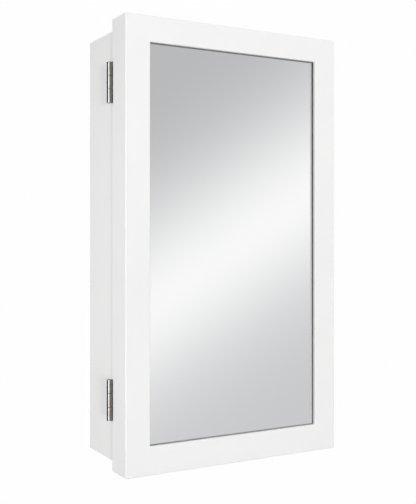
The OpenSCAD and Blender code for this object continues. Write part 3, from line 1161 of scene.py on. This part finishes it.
@dataclass(frozen=True)
class Hinges:
    """Both hinges and their screws."""

    upper: Hinge = field(default_factory=lambda: Hinge("upper"))
    lower: Hinge = field(default_factory=lambda: Hinge("lower"))

    def fixing(self, way: int) -> Fixing:
        """The screws of both hinges in the cabinet's leaf, or in the door's where way is -1."""
        first, other = self.upper.fixing(way), self.lower.fixing(way)
        return Fixing(first.node, first.body, first.screw, first.places + other.places)

    def mortise_tools(self) -> list[Mesh]:
        """What both hinges' mortises take off the wood."""
        return self.upper.mortise_tools() + self.lower.mortise_tools()

    def build(self, workshop: Workshop) -> None:
        """Makes both hinges with their screws.

        Args:
            workshop: where the pieces are made.
        """
        self.upper.build(workshop)
        self.lower.build(workshop)
        self.fixing(1).pieces(workshop, NICKEL)
        self.fixing(-1).pieces(workshop, NICKEL)


@dataclass(frozen=True)
class Carcass:
    """The box on the wall: four panels, the back, two hanging rails, three shelves and their pins."""

    hinges: Hinges
    edge_radius: float = 1 * MM
    ease: float = 0.5 * MM
    rail_ease: float = 1 * MM
    back_play: float = 0.5 * MM
    screw: Screw = Screw(16 * MM)
    screw_inset: float = 80 * MM
    screws_per_side: int = 4
    wall_hole: float = 2.75 * MM
    wall_hole_pitch: float = 240 * MM
    shelf_radius: float = 1.5 * MM
    pin_hole: float = 2.55 * MM
    pin_hole_depth: float = 9.5 * MM
    pin_hole_ease: float = 0.25 * MM
    pin_row_pitch: float = 32 * MM
    pin_shank: float = 2.5 * MM
    pin_collar: float = 3.5 * MM
    pin_collar_height: float = 0.8 * MM
    pin_peg: float = 8 * MM
    pin_depth: float = 9 * MM
    pin_flat: float = 2 * MM
    pin_ease: float = 0.4 * MM

    @property
    def outer(self) -> Span:
        """The whole carcass's box."""
        return Span.of("side_panel_left", "side_panel_right", "top_panel", "bottom_panel")

    @property
    def inside(self) -> Span:
        """The space between the panels.

        Returns:
            Its box, as deep as the carcass.
        """
        low = Vector((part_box("side_panel_left")[1].x, self.outer.low.y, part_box("bottom_panel")[1].z))
        high = Vector((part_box("side_panel_right")[0].x, self.outer.high.y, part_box("top_panel")[0].z))
        return Span(low, high)

    @property
    def back(self) -> Span:
        """The back panel's box."""
        return Span.of("back_panel")

    def frame(self) -> RebatedFrame:
        """Describes the four panels round the inside, with the rebate for the back panel.

        Returns:
            The panels as a frame.
        """
        fronts = [(Side.FRONT, side) for side in (Side.LEFT, Side.RIGHT, Side.TOP, Side.BOTTOM)]
        corners = [(side, end) for side in (Side.LEFT, Side.RIGHT) for end in (Side.TOP, Side.BOTTOM)]
        rebate = self.back.grown(x=self.back_play, z=self.back_play)
        return RebatedFrame(
            self.outer, self.inside, rebate, tuple(fronts + corners), self.edge_radius, self.ease
        )

    def back_fixing(self) -> Fixing:
        """Places the screws that hold the back panel.

        Returns:
            The screws.
        """
        inside, back = self.inside, self.back
        left = (back.low.x + inside.low.x - self.back_play) / 2
        top = (back.high.z + inside.high.z + self.back_play) / 2
        low, high = inside.low.z + self.screw_inset, inside.high.z - self.screw_inset
        rows = spread(low, high, self.screws_per_side)
        spots = [(x, z) for x in (left, -left) for z in rows] + [(0.0, z) for z in (-top, top)]
        places = tuple((Vector((x, back.high.y, z)), Toward.BACK) for x, z in spots)
        return Fixing("back_panel_screws", "cabinet", self.screw, places)

    def wall_holes(self) -> list[Mesh]:
        """Makes the tools that drill the wall holes through the back panel and the rails.

        Returns:
            The meshes that cut them.
        """
        rails = [Span.of("hanging_rail_" + end).middle.z for end in ("top", "bottom")]
        half = self.wall_hole_pitch / 2
        places = [(x, 0.0, z) for x in (-half, half) for z in rails]
        return [placed(rod(self.wall_hole, THROUGH, steps=40), at, Toward.BACK) for at in places]

    def pin_places(self) -> list[tuple[float, float]]:
        """Places the shelf pins of one side.

        Returns:
            The depth and height of each.
        """
        pins = Span.of("shelf_pins")
        depths = (pins.low.y + self.pin_collar, pins.high.y - self.pin_collar)
        return [(y, Span.of(shelf).low.z - self.pin_flat) for y in depths for shelf in SHELVES]

    def pin_holes(self, side: Side) -> list[Mesh]:
        """Makes the tools that drill a side panel's shelf pin holes, each with a slight chamfer.

        Args:
            side: the panel's side.

        Returns:
            The meshes that cut them.
        """
        radius = self.pin_hole
        wide = radius + self.pin_hole_ease
        outline = [(0.0, -MM), (wide, -MM), (wide, 0.0), (radius, self.pin_hole_ease)]
        outline += [(radius, self.pin_hole_depth), (0.0, self.pin_hole_depth)]
        toward = Toward.LEFT if side is Side.LEFT else Toward.RIGHT
        x = self.inside.at(side)
        steps = (-self.pin_row_pitch, 0.0, self.pin_row_pitch)
        return [
            placed(lathe(outline), (x, y, z + step), toward)
            for y, z in self.pin_places()
            for step in steps
        ]

    def build_panels(self, workshop: Workshop) -> None:
        """Makes the four panels.

        Args:
            workshop: where the pieces are made.
        """
        ring = self.frame()
        cuts = self.hinges.mortise_tools() + self.pin_holes(Side.LEFT)
        left = carved(ring.member(Side.LEFT), cuts)
        right = carved(ring.member(Side.RIGHT), self.pin_holes(Side.RIGHT))
        workshop.piece("side_left_painted", left, [PAINT], "cabinet", "side_panel_left")
        workshop.piece("side_right_painted", right, [PAINT], "cabinet", "side_panel_right")
        for side, name in ((Side.TOP, "top"), (Side.BOTTOM, "bottom")):
            workshop.piece(name + "_painted", ring.member(side), [PAINT], "cabinet", name + "_panel")

    def build_back(self, workshop: Workshop) -> None:
        """Makes the back panel, its screws and the hanging rails.

        Args:
            workshop: where the pieces are made.
        """
        fixing = self.back_fixing()
        holes = fixing.countersinks() + self.wall_holes()
        workshop.piece("back_faced", carved(block(self.back), holes), [BOARD], "cabinet", "back_panel")
        fixing.pieces(workshop, ZINC)
        for end, free in (("top", Side.BOTTOM), ("bottom", Side.TOP)):
            node = "hanging_rail_" + end
            span = Span.of(node)
            rail = eased(block(span), span, ((Side.FRONT, free),), self.rail_ease)
            rail = carved(rail, self.wall_holes())
            workshop.piece(node + "_painted", rail, [PAINT], "cabinet", node)

    def build_shelves(self, workshop: Workshop) -> None:
        """Makes the shelves with all their arrises rounded.

        Args:
            workshop: where the pieces are made.
        """
        for node in SHELVES:
            span = Span.of(node)
            shelf = eased(block(span), span, ALL_ARRISES, self.shelf_radius)
            workshop.piece(node + "_painted", shelf, [PAINT], "cabinet", node)

    def build_pins(self, workshop: Workshop) -> None:
        """Makes the shelf pins: a shank in the panel, a collar and a peg with a flat top.

        Args:
            workshop: where the pieces are made.
        """
        shank, collar, edge = self.pin_shank, self.pin_collar, self.pin_ease
        peg, inner, rim = -self.pin_peg, self.pin_depth, -self.pin_collar_height
        outline = [(0.0, peg), (shank - edge, peg), (shank, edge + peg), (shank, rim)]
        outline += [(collar - edge / 2, rim), (collar, edge / 2 + rim), (collar, 0.0), (shank, 0.0)]
        outline += [(shank, inner - edge), (shank - edge, inner), (0.0, inner)]
        low = Vector((-2 * collar, self.pin_flat, 2 * peg))
        flat = Span(low, Vector((2 * collar, 2 * collar, 0.0)))
        pattern = carved(lathe(outline, steps=40), [block(flat)])
        parts = []
        quarter = math.pi / 2
        ways = ((Side.LEFT, Toward.LEFT, -quarter), (Side.RIGHT, Toward.RIGHT, quarter))
        for side, toward, upright in ways:
            for y, z in self.pin_places():
                parts.append(placed(pattern.copy(), (self.inside.at(side), y, z), toward, upright))
        pattern.free()
        workshop.piece("shelf_pins_turned", gathered(parts), [NICKEL], "cabinet", "shelf_pins")

    def build(self, workshop: Workshop) -> None:
        """Makes the whole carcass.

        Args:
            workshop: where the pieces are made.
        """
        self.build_panels(workshop)
        self.build_back(workshop)
        self.build_shelves(workshop)
        self.build_pins(workshop)
        workshop.keep("carcass_dowels", BEECH)


@dataclass(frozen=True)
class Door:
    """The framed mirror door."""

    hinges: Hinges
    edge_radius: float = 1.2 * MM
    lip_radius: float = 1.5 * MM
    lip: float = 5 * MM
    glass_play: float = 1 * MM
    silver_depth: Ends = (1.3 * MM, 2.1 * MM)
    silver_margin: float = 3.4 * MM
    screw: Screw = Screw(22 * MM)
    screws_per_side: int = 3
    batten_inset: float = 60 * MM
    batten_ease: float = 0.8 * MM

    @property
    def outer(self) -> Span:
        """The whole door's box."""
        return Span.of("door_stile_left", "door_stile_right", "door_rail_top", "door_rail_bottom")

    @property
    def opening(self) -> Span:
        """The opening that shows the mirror.

        Returns:
            Its box, as deep as the door.
        """
        outer = self.outer
        low = Vector((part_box("door_stile_left")[1].x, outer.low.y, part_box("door_rail_bottom")[1].z))
        high = Vector((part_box("door_stile_right")[0].x, outer.high.y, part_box("door_rail_top")[0].z))
        return Span(low, high)

    @property
    def pocket(self) -> Span:
        """The rebate behind the lip."""
        span = Span.of("mirror_glass").grown(x=self.glass_play, z=self.glass_play)
        return span.moved(Side.BACK, self.outer.high.y)

    def frame(self) -> RebatedFrame:
        """Describes the frame's four members.

        Returns:
            The frame.
        """
        return RebatedFrame(
            self.outer, self.opening, self.pocket, ALL_ARRISES, self.edge_radius, self.lip_radius
        )

    def batten_fixing(self) -> Fixing:
        """Places the screws that hold the battens.

        Returns:
            The screws.
        """
        pocket = self.pocket
        batten = Span.of("mirror_batten_top").size.z
        y = Span.of("mirror_batten_top").middle.y
        low, high = pocket.low.z + self.batten_inset, pocket.high.z - self.batten_inset
        rows = spread(low, high, self.screws_per_side)
        columns = (pocket.low.x + self.batten_inset, pocket.high.x - self.batten_inset)
        places = [(Vector((pocket.low.x + batten, y, z)), Toward.RIGHT) for z in rows]
        places += [(Vector((pocket.high.x - batten, y, z)), Toward.LEFT) for z in rows]
        places += [(Vector((x, y, pocket.high.z - batten)), Toward.DOWN) for x in columns]
        places += [(Vector((x, y, pocket.low.z + batten)), Toward.UP) for x in columns]
        return Fixing("batten_screws", "door", self.screw, tuple(places))

    def build_frame(self, workshop: Workshop) -> None:
        """Makes the stiles and rails.

        Args:
            workshop: where the pieces are made.
        """
        ring = self.frame()
        members = (
            (Side.LEFT, "door_stile_left"),
            (Side.RIGHT, "door_stile_right"),
            (Side.TOP, "door_rail_top"),
            (Side.BOTTOM, "door_rail_bottom"),
        )
        for side, node in members:
            member = ring.member(side)
            if side is Side.LEFT:
                member = carved(member, self.hinges.mortise_tools())
            workshop.piece(node + "_painted", member, [PAINT], "door", node)

    def build_mirror(self, workshop: Workshop) -> None:
        """Makes the mirror, whose silver lies as deep as it looks through its glass.

        Args:
            workshop: where the pieces are made.
        """
        span = Span.of("mirror_glass")
        bm = block(span)
        front = min(bm.faces, key=lambda face: face.calc_center_median().y)
        # Every face but the silver takes the dark edge finish. The walls round the recessed silver stand
        # for the glass in front of it, and their near-black colour is painted shade: the shadow seen
        # under the lip.
        for face in bm.faces:
            face.material_index = 1
        bmesh.ops.inset_individual(bm, faces=[front], thickness=MM)
        seen = self.opening.grown(x=self.silver_margin, z=self.silver_margin)
        RebatedFrame.fit(front, seen, span.low.y)
        silver = bmesh.ops.extrude_discrete_faces(bm, faces=[front])["faces"][0]
        for vert in silver.verts:
            high = vert.co.z > span.middle.z
            x = seen.high.x if vert.co.x > span.middle.x else seen.low.x
            z = seen.high.z if high else seen.low.z
            vert.co = (x, span.low.y + self.silver_depth[high], z)
        silver.material_index = 0
        workshop.piece("mirror_silvered", bm, [SILVER, EDGE], "door", "mirror_glass")

    def build_back(self, workshop: Workshop) -> None:
        """Makes the backing board, the battens and their screws.

        Args:
            workshop: where the pieces are made.
        """
        board = Span.of("mirror_backing_board")
        workshop.piece("backing_faced", block(board), [BOARD], "door", "mirror_backing_board")
        fixing = self.batten_fixing()
        inner = {"left": Side.RIGHT, "right": Side.LEFT, "top": Side.BOTTOM, "bottom": Side.TOP}
        for name, free in inner.items():
            node = "mirror_batten_" + name
            span = Span.of(node)
            batten = eased(block(span), span, ((free, Side.BACK),), self.batten_ease)
            batten = carved(batten, fixing.countersinks())
            workshop.piece(node + "_painted", batten, [PAINT], "door", node)
        fixing.pieces(workshop, ZINC)

    def build(self, workshop: Workshop) -> None:
        """Makes the whole door.

        Args:
            workshop: where the pieces are made.
        """
        self.build_frame(workshop)
        self.build_mirror(workshop)
        self.build_back(workshop)
        workshop.keep("door_frame_dowels", BEECH)


@dataclass(frozen=True)
class Catches:
    """The magnetic catches, their strike plates and the door bumpers."""

    sleeve: float = 5 * MM
    flange: float = 6 * MM
    flange_height: float = 0.8 * MM
    magnet: float = 3.5 * MM
    magnet_length: float = 8 * MM
    play: float = 0.05 * MM
    edge: float = 0.25 * MM
    skirt_share: float = 0.25
    dome_points: int = 7
    screw: Screw = Screw(12 * MM)

    def both(self, bm: Mesh, node: str, face: Side, toward: Toward) -> Mesh:
        """Puts a turned part at each end of the node that it stands for.

        Args:
            bm: the part, made at the origin, which is freed.
            node: the node, which holds one copy at its bottom and one at its top.
            face: the face of the node's box where the part's origin lies.
            toward: where the part's +Z goes.

        Returns:
            Both parts as one mesh.
        """
        span = Span.of(node)
        radius = span.size.x / 2
        places = [(span.middle.x, span.at(face), z) for z in (span.low.z + radius, span.high.z - radius)]
        parts = [placed(bm.copy(), at, toward) for at in places]
        bm.free()
        return gathered(parts)

    def build_sleeves(self, workshop: Workshop) -> None:
        """Makes the sleeves with their flanges, and the magnets in them.

        Args:
            workshop: where the pieces are made.
        """
        length = Span.of("catch_sleeves").size.y
        bore = self.magnet + self.play
        outline = [(bore, 0.0), (self.flange - self.edge, 0.0), (self.flange, self.edge)]
        outline += [(self.flange, self.flange_height), (self.sleeve, self.flange_height)]
        outline += [(self.sleeve, length - self.edge), (self.sleeve - self.edge, length), (0.0, length)]
        outline += [(0.0, self.magnet_length), (bore, self.magnet_length)]
        sleeve = lathe(outline, steps=48, closed=True)
        sleeves = self.both(sleeve, "catch_sleeves", Side.FRONT, Toward.BACK)
        workshop.piece("catch_sleeves_moulded", sleeves, [SLEEVE], "cabinet", "catch_sleeves")
        outline = [(0.0, 0.0), (self.magnet - self.edge, 0.0), (self.magnet, self.edge)]
        outline += [(self.magnet, self.magnet_length), (0.0, self.magnet_length)]
        magnet = lathe(outline, steps=40)
        magnets = self.both(magnet, "catch_magnets", Side.FRONT, Toward.BACK)
        workshop.piece("catch_magnets_sintered", magnets, [FERRITE], "cabinet", "catch_magnets")

    def build_bumpers(self, workshop: Workshop) -> None:
        """Makes the bumpers as low domes.

        Args:
            workshop: where the pieces are made.
        """
        span = Span.of("door_bumpers")
        radius, height = span.size.x / 2, span.size.y
        skirt = height * self.skirt_share
        arc = [math.radians(angle) for angle in spread(0.0, 90.0, self.dome_points)]
        outline = [(0.0, 0.0), (radius, 0.0)]
        outline += [(radius * math.cos(a), skirt + (height - skirt) * math.sin(a)) for a in arc[:-1]]
        outline.append((0.0, height))
        domes = self.both(lathe(outline, steps=40), "door_bumpers", Side.BACK, Toward.FRONT)
        workshop.piece("door_bumpers_moulded", domes, [RUBBER], "cabinet", "door_bumpers")

    def build_strikes(self, workshop: Workshop) -> None:
        """Makes the strike plates and their screws.

        Args:
            workshop: where the pieces are made.
        """
        span = Span.of("strike_plates")
        radius, height = span.size.x / 2, span.size.y
        outline = [(0.0, -height), (radius, -height), (radius, -self.edge)]
        outline += [(radius - self.edge, 0.0), (0.0, 0.0)]
        plate = carved(lathe(outline, steps=48), [self.screw.countersink()])
        plates = self.both(plate, "strike_plates", Side.BACK, Toward.BACK)
        workshop.piece("strike_plates_pressed", plates, [ZINC], "door", "strike_plates")
        heights = (span.low.z + radius, span.high.z - radius)
        places = tuple((Vector((span.middle.x, span.high.y, z)), Toward.BACK) for z in heights)
        Fixing("strike_screws", "door", self.screw, places).pieces(workshop, ZINC)

    def build(self, workshop: Workshop) -> None:
        """Makes all the small hardware at the opening side.

        Args:
            workshop: where the pieces are made.
        """
        self.build_sleeves(workshop)
        self.build_bumpers(workshop)
        self.build_strikes(workshop)


@dataclass(frozen=True)
class Lamp:
    """A softbox that faces the cabinet.

    Its azimuth is in degrees from the front, rising to the right, its distance and height are those of
    its middle, and its power is in watts.
    """

    name: str
    azimuth: float
    distance: float
    height: float
    width: float
    length: float
    power: float

    def build(self) -> None:
        """Hangs the lamp."""
        data = bpy.data.lights.new(self.name, "AREA")
        data.shape = "RECTANGLE"
        data.size = self.width
        data.size_y = self.length
        data.energy = self.power
        lamp = bpy.data.objects.new(self.name, data)
        turn = math.radians(self.azimuth)
        lamp.location = (self.distance * math.sin(turn), -self.distance * math.cos(turn), self.height)
        lamp.rotation_euler = (-lamp.location).to_track_quat("-Z", "Y").to_euler()
        lamp.visible_camera = False
        lamp.visible_glossy = False
        bpy.context.collection.objects.link(lamp)


@dataclass(frozen=True)
class LightTent:
    """A round tent of glowing cloth that only reflections show.

    Slanting bands of light run round it. For blurred reflections, so not for a mirror's, it is veiled,
    with a bright strip at the left, and dimmer still behind the left side. Azimuths are in degrees from
    the front, rising to the right.
    """

    radius: float = 3.5
    floor: float = -1.28
    ceiling: float = 2.4
    bands: int = 4
    slope: float = 0.706
    start: float = 27.6
    height: float = -0.16
    glow: float = 0.997
    dim: float = 0.561
    swing: float = 0.057
    tint: Colour = (0.984, 0.996, 1.02)
    reach_up: float = 0.61
    reach_down: float = 0.53
    falloff: float = 1.8
    strip: Ends = (-84.0, -34.0)
    strip_heights: Ends = (-1.15, 1.15)
    strip_soft: float = 0.3
    strip_level: float = 4.8
    veil: float = 0.5
    shade: Ends = (-212.0, -90.0)
    shade_turns: Ends = (-270.0, 90.0)
    shade_level: float = 0.22
    soft: float = 12.0
    spill: float = 0.3

    @staticmethod
    def window(
        nodes: Nodes, value: Socket, ends: Ends, soft: float
    ) -> Socket:
        """Marks a stretch of a number's range.

        Args:
            nodes: the material.
            value: the number.
            ends: the stretch's low and high end.
            soft: the width over which each end fades.

        Returns:
            The socket with 1 inside the stretch and 0 outside it.
        """
        sides = []
        for end, way in zip(ends, (1, -1)):
            low, high = end - way * soft / 2, end + way * soft / 2
            inputs = {"Value": value, "From Min": low, "From Max": high}
            sides.append(nodes.node("MapRange", inputs, interpolation_type="SMOOTHSTEP").outputs[0])
        return nodes.maths("MULTIPLY", *sides)

    def band(
        self, nodes: Nodes, place: Sequence[Socket], turn: Socket
    ) -> Socket:
        """The height above the nearest band's middle, which goes on across the floor and ceiling.

        Args:
            nodes: the material.
            place: the three coordinates.
            turn: the azimuth.

        Returns:
            The socket with the height, from minus to plus half the distance between bands.
        """
        x, y, z = place
        reach = nodes.maths("SQRT", nodes.maths("MULTIPLY_ADD", x, x, nodes.maths("MULTIPLY", y, y)))
        inward = nodes.maths("SUBTRACT", self.radius, reach)
        height = nodes.maths("MULTIPLY_ADD", nodes.maths("SIGN", z), inward, z)
        rise = self.slope * math.radians(self.radius)
        lifted = nodes.maths("MULTIPLY_ADD", turn, -rise, self.start * rise - self.height)
        half = self.pitch / 2
        return nodes.maths("WRAP", nodes.maths("ADD", height, lifted), half, -half)

    @property
    def pitch(self) -> float:
        """The upright distance between two bands."""
        return math.tau * self.radius * self.slope / self.bands

    def banded(self, nodes: Nodes, place: Sequence[Socket], turn: Socket) -> Socket:
        """Colours the bands and the dimmer cloth between them.

        Args:
            nodes: the material.
            place: the three coordinates.
            turn: the azimuth.

        Returns:
            The socket with the colour.
        """
        above = self.band(nodes, place, turn)
        inputs = {"Value": above, "From Min": -CLOSE, "From Max": CLOSE}
        inputs |= {"To Min": self.reach_down, "To Max": self.reach_up}
        reach = nodes.node("MapRange", inputs).outputs[0]
        share = nodes.maths("DIVIDE", nodes.maths("ABSOLUTE", above), reach)
        share = nodes.maths("POWER", share, self.falloff)
        share = nodes.maths("EXPONENT", nodes.maths("MULTIPLY", share, -1.0))
        wave = nodes.maths("SINE", nodes.maths("MULTIPLY", above, math.tau / self.pitch))
        dim = nodes.scaled(self.tint, nodes.maths("MULTIPLY_ADD", wave, -self.swing, self.dim))
        return nodes.mixed(share, dim, grey(self.glow))

    def material(self) -> bpy.types.Material:
        """Makes the cloth.

        Returns:
            The material.
        """
        material, nodes = unshaded("tent_cloth")
        position = nodes.node("TexCoord", {}).outputs["Object"]
        place = nodes.node("SeparateXYZ", {0: position}).outputs
        turn = nodes.maths("ARCTAN2", place[0], nodes.maths("MULTIPLY", place[1], -1.0))
        turn = nodes.maths("DEGREES", turn)
        path = nodes.node("LightPath", {}).outputs
        blurred = nodes.maths("SUBTRACT", 1.0, path["Is Singular Ray"])
        veil = nodes.maths("MULTIPLY_ADD", blurred, self.veil - 1.0, 1.0)
        colour = nodes.scaled(self.banded(nodes, place, turn), veil)
        strip = self.window(nodes, turn, self.strip, self.soft)
        upright = self.window(nodes, place[2], self.strip_heights, self.strip_soft)
        strip = nodes.maths("MULTIPLY", nodes.maths("MULTIPLY", strip, upright), blurred)
        colour = nodes.mixed(strip, colour, grey(self.strip_level))
        behind = nodes.maths("WRAP", turn, self.shade_turns[1], self.shade_turns[0])
        shade = nodes.maths("MULTIPLY", self.window(nodes, behind, self.shade, self.soft), blurred)
        level = nodes.maths("MULTIPLY_ADD", shade, self.shade_level - 1.0, 1.0)
        cloth = nodes.node("Emission", {"Color": colour, "Strength": level})
        spill = nodes.node("Emission", {"Color": grey(1.0), "Strength": self.spill})
        bounced = nodes.maths("MINIMUM", path["Diffuse Depth"], 1.0)
        nodes.surface("Material Output", bounced, cloth, spill)
        material.cycles.emission_sampling = "NONE"
        return material

    def build(self) -> None:
        """Puts up the tent."""
        outline = [(0.0, self.floor), (self.radius, self.floor)]
        outline += [(self.radius, self.ceiling), (0.0, self.ceiling)]
        tent = staged("light_tent", lathe(outline, steps=128), self.material())
        tent.visible_camera = False
        tent.visible_diffuse = False
        tent.visible_transmission = False
        tent.visible_volume_scatter = False
        tent.visible_shadow = False


def staged(name: str, bm: Mesh, material: bpy.types.Material) -> bpy.types.Object:
    """Makes an object that belongs to the studio.

    Args:
        name: its name.
        bm: its mesh, which is freed.
        material: its material.

    Returns:
        The object.
    """
    thing = linked(name, bm)
    thing.data.materials.append(material)
    return thing


@dataclass(frozen=True)
class Studio:
    """The camera, the lamps, the floor, the backdrop and the tent that mirror and metal reflect."""

    camera_place: tuple[float, float, float] = (-0.6637, -1.2467, 0.0163)
    camera_turn: float = math.radians(29.3)
    lens: float = 60.8
    sensor: float = 36.0
    shift: float = -0.034
    white: float = 0.99
    ambient: float = 0.38
    floor_height: float = -1.3
    floor_radius: float = 14.0
    floor_tone: float = 0.55
    floor_glow: float = 0.985
    lamps: tuple[Lamp, ...] = (
        Lamp("front_softbox", -11.5, 8.0, -0.25, 0.8, 2.0, 332.0),
        Lamp("side_softbox", -83.0, 1.4, -0.03, 0.3, 0.45, 7.7),
        Lamp("top_softbox", 14.0, 1.8, 2.6, 1.4, 1.4, 18.0),
        Lamp("back_softbox", 142.0, 2.6, 0.7, 1.6, 1.6, 30.0),
    )

    def build_camera(self) -> None:
        """Places the camera level, at the photograph's viewing angle."""
        data = bpy.data.cameras.new("camera")
        data.lens = self.lens
        data.sensor_width = self.sensor
        data.shift_y = self.shift
        camera = bpy.data.objects.new("camera", data)
        camera.location = self.camera_place
        camera.rotation_euler = (math.pi / 2, 0.0, -self.camera_turn)
        bpy.context.collection.objects.link(camera)
        bpy.context.scene.camera = camera

    def build_world(self) -> None:
        """Makes a world that looks white and lights the object evenly."""
        world = bpy.data.worlds.new("studio")
        world.use_nodes = True
        nodes = Nodes(world.node_tree)
        lighting = nodes.tree.nodes["Background"]
        lighting.inputs["Color"].default_value = grey(1.0)
        lighting.inputs["Strength"].default_value = self.ambient
        backdrop = nodes.node("Background", {"Color": grey(self.white)})
        nodes.surface("World Output", nodes.seen_directly(), lighting, backdrop)
        bpy.context.scene.world = world

    def build_floor(self) -> None:
        """Lays a pale floor well below the hung cabinet, which shows its shadow faintly."""
        material, nodes = unshaded("pale_floor")
        cloth = nodes.node("BsdfDiffuse", {"Color": grey(self.floor_tone)})
        glow = nodes.node("Emission", {"Color": grey(1.0)})
        share = nodes.maths("MULTIPLY", nodes.seen_directly(), self.floor_glow)
        nodes.surface("Material Output", share, cloth, glow)
        bm = bmesh.new()
        place = Matrix.Translation((0.0, 0.0, self.floor_height))
        bmesh.ops.create_circle(bm, cap_ends=True, segments=96, radius=self.floor_radius, matrix=place)
        staged("floor", bm, material)

    def build(self) -> None:
        """Sets up the whole studio."""
        self.build_camera()
        self.build_world()
        self.build_floor()
        LightTent().build()
        for lamp in self.lamps:
            lamp.build()
        bpy.context.scene.view_settings.view_transform = "Standard"


def main() -> None:
    """Builds the studio and the cabinet."""
    logging.basicConfig(level=logging.INFO, format="%(message)s")
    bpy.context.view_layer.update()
    Studio().build()
    workshop = Workshop()
    hinges = Hinges()
    for part in (Carcass(hinges), Door(hinges), hinges, Catches()):
        LOG.info("building %s", type(part).__name__)
        part.build(workshop)


if __name__ == "__main__":
    main()
